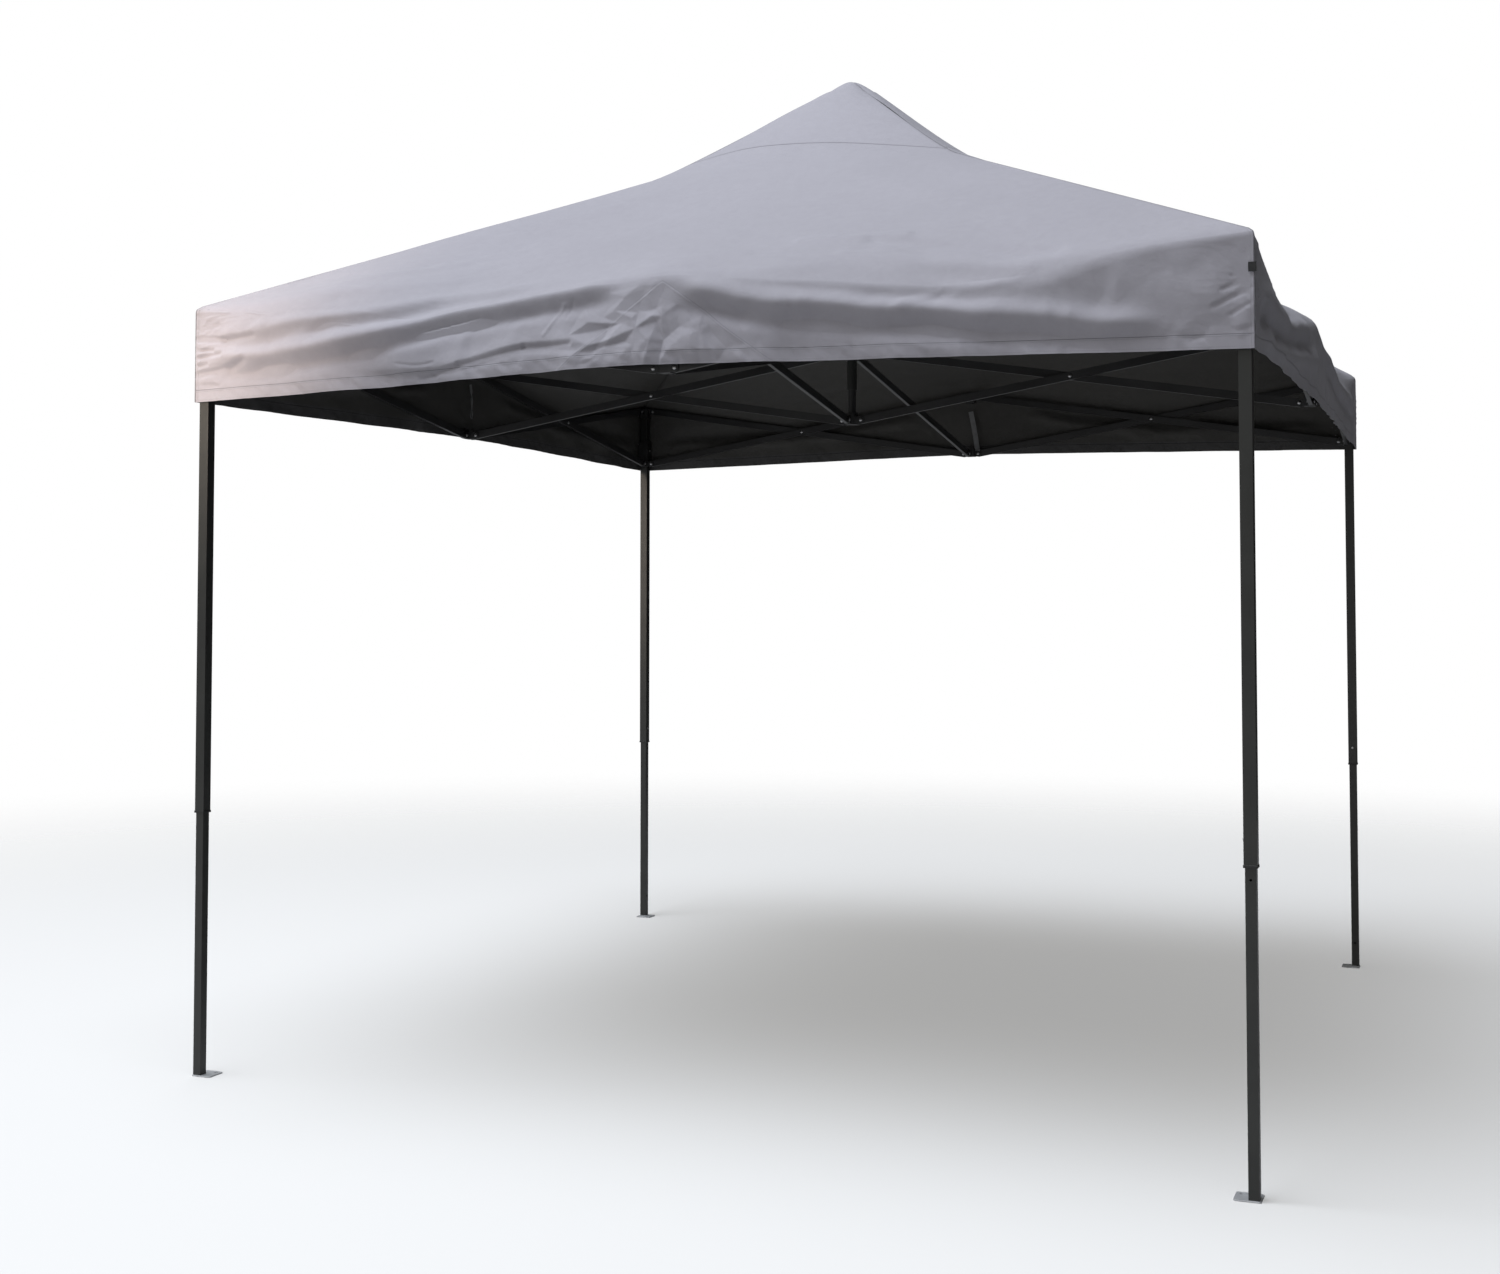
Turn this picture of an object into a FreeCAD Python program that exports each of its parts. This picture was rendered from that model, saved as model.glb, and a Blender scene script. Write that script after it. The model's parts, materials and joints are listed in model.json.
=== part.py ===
"""Pop up canopy: a scissor frame of steel bars on four telescopic legs, under a fabric cover.

Millimetres, +Z up, origin on the ground under the middle of the frame, front side towards -Y.
The frame has quarter-turn symmetry about Z. Each piece is described once, in the front quarter
(front side, front left leg, front arm), and turned by 90 degrees for each further quarter.
"""
import FreeCAD, Part
import math
import os
import re

# The driving dimensions, each a cell of the sheet.
SIZES = {
    "leg_spacing": 2900,  # leg axis to leg axis
    "upper_pivot_height": 2160,  # corner tops, upper side brackets and upper hub
    "lower_pivot_height": 1935,  # sliders, lower side brackets and lower hub
    "corner_reach": 35,  # leg axis to bar pivot
    "side_reach": 30,  # side bracket axis to bar pivot
    "hub_reach": 35,  # mast axis to bar pivot
    "bar_depth": 25,
    "bar_thickness": 12,
    "bar_wall": 1,
    "bar_gap": 1,  # between the two bars of a crossing
    "pin_radius": 3,
    "pin_clearance": 0.1,
    "rivet_head_radius": 5.5,
    "rivet_head_rise": 2.2,
    "fork_clearance": 0.4,
    "ear_thickness": 3.5,
    "ear_radius": 11,
    "bracket_width": 32,
    "bracket_rise": 12,
    "bracket_drop": 22,
    "outer_tube": 30,
    "outer_wall": 1.2,
    "outer_tube_foot": 745,  # height of the outer tube's lower end
    "inner_tube": 25,
    "inner_wall": 1.2,
    "inner_tube_top": 1150,
    "tube_play": 0.1,
    "bush_width": 32.5,
    "bush_play": 0.3,  # each side of the inner tube
    "bush_flange": 6,
    "bush_spigot": 20,
    "corner_sleeve": 37,
    "corner_sleeve_drop": 30,
    "corner_roof": 5,
    "corner_gap": 1,  # between the outer tube's top and the corner bracket's roof
    "weld_overlap": 2,  # how far an ear starts inside its bracket's core
    "slider_width": 42,
    "slider_play": 0.5,
    "slider_rise": 95,
    "slider_drop": 13,
    "groove_width": 9,  # relief in the slider for the snap button, open at its lower end
    "groove_depth": 3.7,
    "groove_rise": 44,
    "button_radius": 4,
    "button_play": 0.3,  # in the outer tube's hole
    "button_hole_play": 0.5,  # in the inner tube's holes
    "button_height": 801,
    "button_proud": 1.8,
    "button_dome": 1.4,
    "stored_hole_height": 86,
    "drain_height": 712,
    "drain_radius": 3,
    "latch_rise": 56,
    "latch_proud": 2,
    "foot_width": 62,
    "foot_thickness": 3,
    "foot_overhang": 16,
    "foot_corner": 6,
    "stake_reach": 32,  # leg axis to stake hole, along X and along Y
    "stake_radius": 5,
    "hub_radius": 21,
    "hub_ear_root": 9,  # where the ears start, well inside the core
    "upper_hub_drop": 28,
    "upper_hub_rise": 14,
    "lower_hub_drop": 14,
    "lower_hub_rise": 24,
    "mast_outer_radius": 16,
    "mast_outer_wall": 1.5,
    "mast_outer_foot": 2035,
    "mast_outer_top": 3032,
    "mast_inner_radius": 12.5,
    "mast_inner_wall": 1.2,
    "mast_inner_top": 2700,
    "mast_socket": 10,
    "cap_radius": 38,
    "cap_rise": 15,
    "cap_rim": 6,
    "cover_width": 2960,
    "cover_thickness": 2,
    "cover_gap": 1,
    "hem_cord": 1.2,  # radius of the cord along each eave, about which a roof panel folds
    "hem_height": 2174.4,
    "eave_height": 2175,
    "roof_slope": 0.5,  # rise over run from the eave up to the peak panel
    "peak_reach": 500,  # half width of the steeper peak panel
    "peak_lift": 178,  # what the peak panel adds to the slope at the mast
    "peak_power": 1.31,
    "peak_round": 35,  # rounding over the mast cap
    "peak_hole": 6,
    "valance_foot": 1907,
}

CORNERS = ["front_left", "front_right", "back_right", "back_left"]
SIDES = ["front", "right", "back", "left"]
QUARTER_TURN = 90

doc = FreeCAD.newDocument("PopUpCanopy")
sheet = doc.addObject("Spreadsheet::Sheet", "Sizes")
for row, (alias, value) in enumerate(SIZES.items(), start=1):
    sheet.set(f"A{row}", alias)
    sheet.set(f"B{row}", str(value))
    sheet.setAlias(f"B{row}", alias)
doc.recompute()

nodes = []


def cell(alias):
    """The number in the sheet's cell of that name."""
    return float(sheet.get(alias))


def formula(text):
    """An expression in sheet aliases, as FreeCAD writes it."""
    return re.sub(r"[a-z]\w+", lambda m: f"Sizes.{m[0]}" if m[0] in SIZES else m[0], str(text))


def bind(obj, **formulas):
    """Bind properties to expressions; a double underscore stands for a dot."""
    for name, text in formulas.items():
        obj.setExpression(name.replace("__", "."), formula(text))
    return obj


def box(size, centre):
    """A box of that size about its centre; both are three expressions."""
    solid = doc.addObject("Part::Box", "Box")
    length, width, height = size
    bind(solid, Length=length, Width=width, Height=height)
    corner = [f"({c}) - ({s}) / 2" for c, s in zip(centre, size)]
    return bind(solid, **{f"Placement__Base__{a}": e for a, e in zip("xyz", corner)})


TURNS = {
    "X": FreeCAD.Rotation(FreeCAD.Vector(0, 1, 0), 90),
    "Y": FreeCAD.Rotation(FreeCAD.Vector(1, 0, 0), -90),
    "Z": FreeCAD.Rotation(),
    "-X": FreeCAD.Rotation(FreeCAD.Vector(0, 1, 0), -90),
    "-Y": FreeCAD.Rotation(FreeCAD.Vector(1, 0, 0), 90),
}


def place(obj, axis, base):
    """Stand an object on its base point, with its own Z along the axis."""
    obj.Placement = FreeCAD.Placement(FreeCAD.Vector(), TURNS[axis])
    return bind(obj, **{f"Placement__Base__{a}": e for a, e in zip("xyz", base)})


def shifted(point, axis, step):
    """The point moved along an axis by an expression."""
    moved = list(point)
    index = "XYZ".index(axis[-1])
    sign = "-" if axis.startswith("-") else "+"
    moved[index] = f"({moved[index]}) {sign} ({step})"
    return moved


def cylinder(radius, length, centre, axis):
    """A cylinder about its centre."""
    solid = bind(doc.addObject("Part::Cylinder", "Cylinder"), Radius=radius, Height=length)
    return place(solid, axis, shifted(centre, axis, f"-({length}) / 2"))


def dome(radius, rise, base, axis):
    """A spherical cap that stands on its base point."""
    ball = f"(({radius})^2 + ({rise})^2) / (2 * ({rise}))"
    solid = doc.addObject("Part::Sphere", "Dome")
    bind(solid, Radius=ball, Angle1=f"asin(({ball} - ({rise})) / ({ball}))")
    solid.Angle2 = 90
    return place(solid, axis, shifted(base, axis, f"({rise}) - {ball}"))


def fuse(shapes):
    """One solid out of several that touch or overlap."""
    solid = doc.addObject("Part::MultiFuse", "Fuse")
    solid.Shapes = shapes
    solid.Refine = True
    return solid


def cut(base, tools):
    """The base less the tools."""
    solid = doc.addObject("Part::Cut", "Cut")
    solid.Base = base
    solid.Tool = tools[0] if len(tools) == 1 else fuse(tools)
    solid.Refine = True
    return solid


def node(label, pieces, quarter=0, placement=None):
    """Name a sub-part, turn it into its quarter and list it for writing."""
    part = pieces[0]
    if len(pieces) > 1:
        part = doc.addObject("Part::Compound", "Group")
        part.Links = pieces
    turn = FreeCAD.Rotation(FreeCAD.Vector(0, 0, 1), QUARTER_TURN * quarter)
    part.Placement = FreeCAD.Placement(FreeCAD.Vector(), turn) * (placement or part.Placement)
    part.Label = label
    nodes.append(part)
    return part


def square_tube(width, wall, centre, length):
    """A square tube along Z, as its outside and the bore to cut from it."""
    inside = f"({width}) - 2 * ({wall})"
    outer = box((width, width, length), centre)
    bore = box((inside, inside, f"({length}) + 2"), centre)
    return outer, bore


FORK_HALF = "(bar_thickness / 2 + fork_clearance)"
FORK_GRIP = f"(2 * {FORK_HALF} + 2 * ear_thickness)"
BAR_OFFSET = "(bar_thickness + bar_gap) / 2"


def rivet(centre, axis, grip):
    """A round pin with a domed head at each end."""
    ends = [shifted(centre, axis, f"{sign}({grip}) / 2") for sign in ("", "-")]
    return fuse([
        cylinder("pin_radius", grip, centre, axis),
        dome("rivet_head_radius", "rivet_head_rise", ends[0], axis),
        dome("rivet_head_radius", "rivet_head_rise", ends[1], f"-{axis}"),
    ])


def fork(axis, start, pivot, plane, height):
    """Two ears that hold a bar's end: (ears, pin hole, rivet).

    They reach along the axis from start to pivot, one each side of the plane across it.
    """
    across = {"X": "Y", "Y": "X"}[axis]

    def at(along, side):
        return (along, side, height) if axis == "X" else (side, along, height)

    ears = []
    for sign in ("-", "+"):
        side = f"({plane}) {sign} ({FORK_HALF} + ear_thickness / 2)"
        reach = f"abs(({pivot}) - ({start}))"
        size = (reach, "ear_thickness", "2 * ear_radius")
        size = size if axis == "X" else (size[1], size[0], size[2])
        ears.append(box(size, at(f"(({start}) + ({pivot})) / 2", side)))
        ears.append(cylinder("ear_radius", "ear_thickness", at(pivot, side), across))
    centre = at(pivot, plane)
    hole = cylinder("pin_radius + pin_clearance / 2", f"{FORK_GRIP} + 2", centre, across)
    return ears, hole, rivet(centre, across, FORK_GRIP)


def forked(core, bores, forks):
    """A bracket: its core with forks, less its bores, followed by the forks' rivets."""
    ears = [ear for parts, _, _ in forks for ear in parts]
    holes = [hole for _, hole, _ in forks]
    return [cut(fuse([core, *ears]), [*bores, *holes])] + [pin for _, _, pin in forks]


SIDE = "leg_spacing / 2"
LEG = (f"-{SIDE}", f"-{SIDE}")


def upper_leg(quarter):
    """Outer leg tube with the corner bracket on its top and the guide bush in its end."""
    top = "(upper_pivot_height + bracket_rise - corner_roof - corner_gap)"
    middle = (*LEG, f"({top} + outer_tube_foot) / 2")
    outer, bore = square_tube("outer_tube", "outer_wall", middle, f"{top} - outer_tube_foot")
    button_face = (LEG[0], f"-{SIDE} + outer_tube / 2", "button_height")
    button_hole = cylinder("button_radius + button_play", "4 * outer_wall", button_face, "Y")
    tube = cut(outer, [bore, button_hole])

    sleeve_top = "upper_pivot_height + bracket_rise"
    sleeve_height = "(bracket_rise + corner_sleeve_drop)"
    sleeve = box(
        ("corner_sleeve", "corner_sleeve", sleeve_height),
        (*LEG, f"{sleeve_top} - {sleeve_height} / 2"),
    )
    socket = "outer_tube + 2 * tube_play"
    pocket = box(
        (socket, socket, sleeve_height),
        (*LEG, f"{sleeve_top} - corner_roof - {sleeve_height} / 2"),
    )
    start = f"-{SIDE} + outer_tube / 2 + weld_overlap"
    pivot = f"-{SIDE} + corner_reach"
    plane = f"-{SIDE} - {BAR_OFFSET}"
    forks = [fork(axis, start, pivot, plane, "upper_pivot_height") for axis in "XY"]
    bracket = forked(sleeve, [pocket], forks)

    flange = box(
        ("bush_width", "bush_width", "bush_flange"),
        (*LEG, "outer_tube_foot - bush_flange / 2"),
    )
    spigot_width = "outer_tube - 2 * outer_wall - 2 * tube_play"
    spigot = box(
        (spigot_width, spigot_width, "bush_spigot"),
        (*LEG, "outer_tube_foot + bush_spigot / 2"),
    )
    guide_width = "inner_tube + 2 * bush_play"
    guide = box(
        (guide_width, guide_width, "2 * (bush_flange + bush_spigot) + 2"),
        (*LEG, "outer_tube_foot"),
    )
    bush = cut(fuse([flange, spigot]), [guide])
    node(f"upper_leg_{CORNERS[quarter]}", [tube, *bracket, bush], quarter)


def lower_leg(quarter):
    """Inner leg tube, welded to a foot plate with a stake hole."""
    middle = (*LEG, "(inner_tube_top + foot_thickness) / 2")
    length = "inner_tube_top - foot_thickness"
    outer, bore = square_tube("inner_tube", "inner_wall", middle, length)
    depth = "4 * inner_wall"
    holes = [
        cylinder("button_radius + button_hole_play", depth, (LEG[0], f"-{SIDE} + inner_tube / 2", z), "Y")
        for z in ("button_height", "stored_hole_height")
    ]
    drain_face = (f"-{SIDE} - inner_tube / 2", LEG[1], "drain_height")
    drain = cylinder("drain_radius", depth, drain_face, "X")
    tube = cut(outer, [bore, *holes, drain])

    plate_centre = f"-{SIDE} - foot_overhang + foot_width / 2"
    plate = box(
        ("foot_width", "foot_width", "foot_thickness"),
        (plate_centre, plate_centre, "foot_thickness / 2"),
    )
    rounded = doc.addObject("Part::Fillet", "RoundedPlate")
    rounded.Base = plate
    upright_edges = (1, 3, 5, 7)
    rounded.Edges = [(edge, cell("foot_corner"), cell("foot_corner")) for edge in upright_edges]
    stake = f"-{SIDE} + stake_reach"
    stake_hole = cylinder("stake_radius", "4 * foot_thickness", (stake, stake, "0"), "Z")
    node(f"lower_leg_{CORNERS[quarter]}", [tube, cut(rounded, [stake_hole])], quarter)


def slider(quarter):
    """Sleeve that runs on the outer leg tube and holds the ends of two bars."""
    height = "(slider_rise + slider_drop)"
    middle = (*LEG, "lower_pivot_height + (slider_rise - slider_drop) / 2")
    wall = "(slider_width - outer_tube) / 2 - slider_play"
    outer, bore = square_tube("slider_width", wall, middle, height)
    latch_face = (LEG[0], f"-{SIDE} + slider_width / 2", "lower_pivot_height + latch_rise")
    latch_hole = cylinder("button_radius + tube_play", "slider_width - outer_tube", latch_face, "Y")
    groove_face = f"-{SIDE} + outer_tube / 2"
    groove = box(
        ("groove_width", "2 * groove_depth", "2 * (groove_rise + slider_drop)"),
        (LEG[0], groove_face, "lower_pivot_height - slider_drop"),
    )
    start = f"-{SIDE} + slider_width / 2 - weld_overlap"
    pivot = f"-{SIDE} + corner_reach"
    plane = f"-{SIDE} + {BAR_OFFSET}"
    forks = [fork(axis, start, pivot, plane, "lower_pivot_height") for axis in "XY"]
    node(f"slider_{CORNERS[quarter]}", forked(outer, [bore, groove, latch_hole], forks), quarter)


def plunger(label, inner, outer, height, quarter):
    """A domed round button in the leg's inward face, between two distances from the leg's axis."""
    length = f"({outer}) - ({inner})"
    centre = (LEG[0], f"-{SIDE} + (({inner}) + ({outer})) / 2", height)
    crown = (LEG[0], f"-{SIDE} + ({outer})", height)
    stem = cylinder("button_radius", length, centre, "Y")
    node(label, [fuse([stem, dome("button_radius", "button_dome", crown, "Y")])], quarter)


def bracket(label, height, bar_side, arm_side, rise, drop, quarter):
    """Plastic bracket at the middle of a side: two side bars and one arm bar."""
    core = box(
        ("bracket_width", "bracket_width", f"({rise}) + ({drop})"),
        ("0", f"-{SIDE}", f"{height} + (({rise}) - ({drop})) / 2"),
    )
    start = "(bracket_width / 2 - weld_overlap)"
    side_plane = f"-{SIDE} {bar_side} {BAR_OFFSET}"
    forks = [
        fork("X", start, "side_reach", side_plane, height),
        fork("X", f"-{start}", "-side_reach", side_plane, height),
        fork("Y", f"-{SIDE} + {start}", f"-{SIDE} + side_reach", f"{arm_side}{BAR_OFFSET}", height),
    ]
    node(label, forked(core, [], forks), quarter)


def hub(height, arm_side, rise, drop, bore):
    """Round centre hub with a fork for each of the four arms, followed by its rivets."""
    core = cylinder(
        "hub_radius", f"({rise}) + ({drop})", ("0", "0", f"{height} + (({rise}) - ({drop})) / 2"), "Z"
    )
    start = "hub_ear_root"
    other = {"": "-", "-": ""}[arm_side]
    forks = [
        fork("Y", f"-{start}", "-hub_reach", f"{arm_side}{BAR_OFFSET}", height),
        fork("X", start, "hub_reach", f"{arm_side}{BAR_OFFSET}", height),
        fork("Y", start, "hub_reach", f"{other}{BAR_OFFSET}", height),
        fork("X", f"-{start}", "-hub_reach", f"{other}{BAR_OFFSET}", height),
    ]
    return forked(core, [bore], forks)


def round_tube(radius, wall, foot, top):
    """A round tube about the mast axis."""
    centre = ("0", "0", f"(({foot}) + ({top})) / 2")
    length = f"({top}) - ({foot})"
    bore = cylinder(f"({radius}) - ({wall})", f"({length}) + 2", centre, "Z")
    return cut(cylinder(radius, length, centre, "Z"), [bore])


def upper_mast():
    """Outer tube of the telescopic mast, with the mushroom cap on its top."""
    tube = round_tube("mast_outer_radius", "mast_outer_wall", "mast_outer_foot", "mast_outer_top")
    rim_centre = ("0", "0", "mast_outer_top + cap_rim / 2")
    cap = fuse([
        cylinder("cap_radius", "cap_rim", rim_centre, "Z"),
        dome("cap_radius", "cap_rise", ("0", "0", "mast_outer_top + cap_rim"), "Z"),
    ])
    node("mast_upper_tube", [tube, cap])


def hubs():
    """Upper hub, which the mast slides through, and lower hub, which holds its inner tube."""
    passage = cylinder(
        "mast_outer_radius + 4 * tube_play", "4 * upper_hub_drop", ("0", "0", "upper_pivot_height"), "Z"
    )
    node("upper_hub", hub("upper_pivot_height", "", "upper_hub_rise", "upper_hub_drop", passage))
    rim = ("0", "0", "lower_pivot_height + lower_hub_rise")
    socket = cylinder("mast_inner_radius + tube_play", "2 * mast_socket", rim, "Z")
    casting = hub("lower_pivot_height", "-", "lower_hub_rise", "lower_hub_drop", socket)
    foot = "lower_pivot_height + lower_hub_rise - mast_socket"
    tube = round_tube("mast_inner_radius", "mast_inner_wall", foot, "mast_inner_top")
    node("lower_hub", [*casting, tube])


# A bar spans the same distance everywhere, so all the bars are alike and fold together.
BAR_RUN = cell("leg_spacing") / 2 - cell("corner_reach") - cell("side_reach")
BAR_RISE = cell("upper_pivot_height") - cell("lower_pivot_height")
BAR_LENGTH = math.hypot(BAR_RUN, BAR_RISE)
BAR_ANGLE = math.degrees(math.atan2(BAR_RISE, BAR_RUN))
PIVOT_LENGTH = (
    "sqrt((leg_spacing / 2 - corner_reach - side_reach)^2"
    " + (upper_pivot_height - lower_pivot_height)^2)"
)


def bar(label, inner, heading, pitch, partner, quarter):
    """Rectangular tube with rounded ends and three pin holes, from its inner pivot outwards.

    partner is the side on which the crossing bar lies, +1 or -1, if this bar carries the
    crossing's rivet, or 0.
    """
    middle = (f"{PIVOT_LENGTH} / 2", "0", "0")
    pivots = [("0", "0", "0"), middle, (PIVOT_LENGTH, "0", "0")]
    outline = fuse(
        [box((PIVOT_LENGTH, "bar_thickness", "bar_depth"), middle)]
        + [cylinder("bar_depth / 2", "bar_thickness", pivots[i], "Y") for i in (0, 2)]
    )
    bore = box(
        (
            f"{PIVOT_LENGTH} + 2 * bar_depth",
            "bar_thickness - 2 * bar_wall",
            "bar_depth - 2 * bar_wall",
        ),
        middle,
    )
    holes = [cylinder("pin_radius + pin_clearance", "bar_thickness + 2", p, "Y") for p in pivots]
    pieces = [cut(outline, [bore, *holes])]
    if partner:
        centre = (middle[0], f"{partner} * {BAR_OFFSET}", "0")
        pieces.append(rivet(centre, "Y", "2 * bar_thickness + 2 * bar_gap"))
    turn = FreeCAD.Rotation(FreeCAD.Vector(0, 0, 1), heading)
    tilt = FreeCAD.Rotation(FreeCAD.Vector(0, 1, 0), -pitch)
    node(label, pieces, quarter, FreeCAD.Placement(FreeCAD.Vector(*inner), turn * tilt))


def quarter_bars(quarter):
    """The four bars of one side and the two of one arm."""
    side = SIDES[quarter]
    half, low, high = cell("leg_spacing") / 2, cell("lower_pivot_height"), cell("upper_pivot_height")
    offset = (cell("bar_thickness") + cell("bar_gap")) / 2
    reach = cell("side_reach")
    for hand, heading, sign in (("left", 180, -1), ("right", 0, 1)):
        rise_foot = (sign * reach, -half - offset, low)
        bar(f"{side}_{hand}_rise_bar", rise_foot, heading, BAR_ANGLE, sign, quarter)
        drop_head = (sign * reach, -half + offset, high)
        bar(f"{side}_{hand}_drop_bar", drop_head, heading, -BAR_ANGLE, 0, quarter)
    hub_reach = cell("hub_reach")
    towards_side = -90
    bar(f"{side}_arm_high_bar", (offset, -hub_reach, high), towards_side, -BAR_ANGLE, -1, quarter)
    bar(f"{side}_arm_low_bar", (-offset, -hub_reach, low), towards_side, BAR_ANGLE, 0, quarter)


def roof_height(reach):
    """Height of the cover's top at a distance from the mast, measured square to a side."""
    rounded = math.hypot(reach, cell("peak_round"))
    slope = cell("roof_slope") * (cell("cover_width") / 2 - rounded)
    panel = max(0, 1 - rounded / cell("peak_reach")) ** cell("peak_power")
    return cell("eave_height") + slope + cell("peak_lift") * panel


ROOF_STATIONS = 12  # flats in the roof's section


def roof_section():
    """The front roof panel's section in the YZ plane, from the eave to the peak."""
    eave, peak = cell("cover_width") / 2 - cell("hem_cord"), cell("peak_hole")
    thickness = cell("cover_thickness")
    # closer together near the peak, where the section bends most
    reaches = [peak + (eave - peak) * (1 - i / ROOF_STATIONS) ** 2 for i in range(ROOF_STATIONS + 1)]
    top = [FreeCAD.Vector(0, -r, roof_height(r)) for r in reaches]
    under = [p - FreeCAD.Vector(0, 0, thickness) for p in reversed(top)]
    face = doc.addObject("Part::Feature", "RoofSection")
    face.Shape = Part.Face(Part.makePolygon([*top, *under, top[0]]))
    return face


def roof_panel(quarter):
    """One of the four roof panels: the section drawn out sideways and trimmed at the hips."""
    sheet_out = doc.addObject("Part::Extrusion", "RoofSheet")
    sheet_out.Base = roof_section()
    sheet_out.DirMode = "Custom"
    sheet_out.Dir = FreeCAD.Vector(1, 0, 0)
    sheet_out.Symmetric = True
    sheet_out.Solid = True
    bind(sheet_out, LengthFwd="cover_width")

    half, gap = cell("cover_width") / 2, cell("cover_gap")
    plan = [
        FreeCAD.Vector(0, -gap / 2, 0),
        FreeCAD.Vector(-half, -half - gap / 2, 0),
        FreeCAD.Vector(half, -half - gap / 2, 0),
    ]
    triangle = doc.addObject("Part::Feature", "HipPlan")
    triangle.Shape = Part.Face(Part.makePolygon([*plan, plan[0]]))
    hips = doc.addObject("Part::Extrusion", "HipPrism")
    hips.Base = triangle
    hips.DirMode = "Custom"
    hips.Dir = FreeCAD.Vector(0, 0, 1)
    hips.Solid = True
    bind(hips, LengthFwd="2 * eave_height")

    cord = cylinder("hem_cord", "cover_width", ("0", "-cover_width / 2 + hem_cord", "hem_height"), "X")
    panel = doc.addObject("Part::MultiCommon", "RoofPanel")
    panel.Shapes = [fuse([sheet_out, cord]), hips]
    node(f"roof_panel_{SIDES[quarter]}", [panel], quarter)


def valance():
    """The cover's four hanging edges, one solid for each side."""
    top = "eave_height - cover_thickness - cover_gap"
    size = (
        "cover_width - 2 * cover_thickness - 2 * cover_gap",
        "cover_thickness",
        f"{top} - valance_foot",
    )
    across = "(cover_width - cover_thickness) / 2"
    height = f"({top} + valance_foot) / 2"
    sideways = (size[1], size[0], size[2])
    node("valance", [
        box(size, ("0", f"-{across}", height)),
        box(sideways, (across, "0", height)),
        box(size, ("0", across, height)),
        box(sideways, (f"-{across}", "0", height)),
    ])


for number, (corner, side) in enumerate(zip(CORNERS, SIDES)):
    upper_leg(number)
    lower_leg(number)
    slider(number)
    plunger(
        f"snap_button_{corner}",
        "inner_tube / 2 + 5 * tube_play",
        "outer_tube / 2 + button_proud",
        "button_height",
        number,
    )
    plunger(
        f"slider_latch_{corner}",
        "outer_tube / 2 + slider_play",
        "slider_width / 2 + latch_proud",
        "lower_pivot_height + latch_rise",
        number,
    )
    bracket(
        f"upper_bracket_{side}", "upper_pivot_height", "+", "-", "bracket_rise", "bracket_drop", number
    )
    bracket(
        f"lower_bracket_{side}", "lower_pivot_height", "-", "", "bracket_drop", "bracket_rise", number
    )
    quarter_bars(number)
    roof_panel(number)
hubs()
upper_mast()
valance()

doc.recompute()
broken = [o.Name for o in doc.Objects if {"Invalid", "Error"} & set(o.State)]
if broken:
    raise RuntimeError(f"features that failed: {broken}")
for part in nodes:
    if part.Shape.isNull() or not part.Shape.isValid() or not part.Shape.Solids:
        raise RuntimeError(f"{part.Label} has no valid solid")

os.makedirs("parts", exist_ok=True)
for part in nodes:
    part.Shape.exportStep(f"parts/{part.Label}.step")
print(f"{len(nodes)} sub-parts, bars {BAR_LENGTH:.1f} long at {BAR_ANGLE:.2f} degrees")
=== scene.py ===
import json
import math

import bpy
import numpy as np
from mathutils import Matrix, Vector, geometry


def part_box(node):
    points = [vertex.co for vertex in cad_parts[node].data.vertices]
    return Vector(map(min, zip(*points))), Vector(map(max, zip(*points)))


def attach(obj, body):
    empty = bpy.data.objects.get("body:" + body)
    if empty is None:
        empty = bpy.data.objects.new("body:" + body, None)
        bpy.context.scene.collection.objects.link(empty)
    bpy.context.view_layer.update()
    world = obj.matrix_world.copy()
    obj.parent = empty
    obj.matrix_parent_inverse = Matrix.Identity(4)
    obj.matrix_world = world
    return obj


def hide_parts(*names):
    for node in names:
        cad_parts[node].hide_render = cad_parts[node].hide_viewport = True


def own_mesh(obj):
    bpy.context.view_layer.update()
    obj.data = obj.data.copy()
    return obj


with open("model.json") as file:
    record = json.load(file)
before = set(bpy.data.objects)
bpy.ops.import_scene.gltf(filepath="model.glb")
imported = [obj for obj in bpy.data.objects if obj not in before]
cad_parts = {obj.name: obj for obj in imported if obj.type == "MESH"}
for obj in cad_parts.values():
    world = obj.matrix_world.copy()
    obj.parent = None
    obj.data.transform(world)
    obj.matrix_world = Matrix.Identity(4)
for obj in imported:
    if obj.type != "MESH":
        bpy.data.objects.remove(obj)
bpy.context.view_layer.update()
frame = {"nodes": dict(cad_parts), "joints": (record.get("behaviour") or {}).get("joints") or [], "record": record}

CORNERS = ["front_left", "front_right", "back_right", "back_left"]
SIDES = ["front", "right", "back", "left"]
joints = {j["name"]: j for j in frame["joints"]}

# ---------------------------------------------------------------- sizes, in metres

HALF = 1.475  # half the cover's width, outside
EAVE = 2.1773
SLOPE, SLOPE_FOOT, SLOPE_REACH = 0.5, 2.175, 1.48  # rise per run, and a point on the plain slope
COS = 0.894  # of the roof's slope
EAVE_DROP = 0.553  # drop of a rounded eave, for a pull inwards of COS
PANEL_RISE, PANEL_REACH = 0.178, 0.5  # the steeper peak panel over the slope
BELLY_RISE, BELLY_REACH = 0.042, 1.05
DIP_REACH = 0.55  # how far up the roof an eave's dip is felt
HEM = 1.907
HEM_SOFT = 0.004  # rounds the hem's arch in the middle
PEAK_PATCH = 0.09  # half width of the small patch over the mast
CLOTH = 0.001
HIP_SQUARE = 0.75  # distance square to a hip, per distance along the eave
BAR_FACES = (1.4365, 1.4640)  # the side trusses lie between these, measured from the middle
BAR_TOP, BAR_FALL, BAR_CLEAR = 2.1727, 0.1625, 0.0035
LEG_PIN, MID_PIN = 1.415, 0.030  # the side bars' end pins, along the side
FACET_GAIN, CREASE_GAIN, PUCKER_GAIN = 1.45, 1.5, 2.4
MIDDLE_BULGE = 0.044  # of the front valance, at its hem


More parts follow.
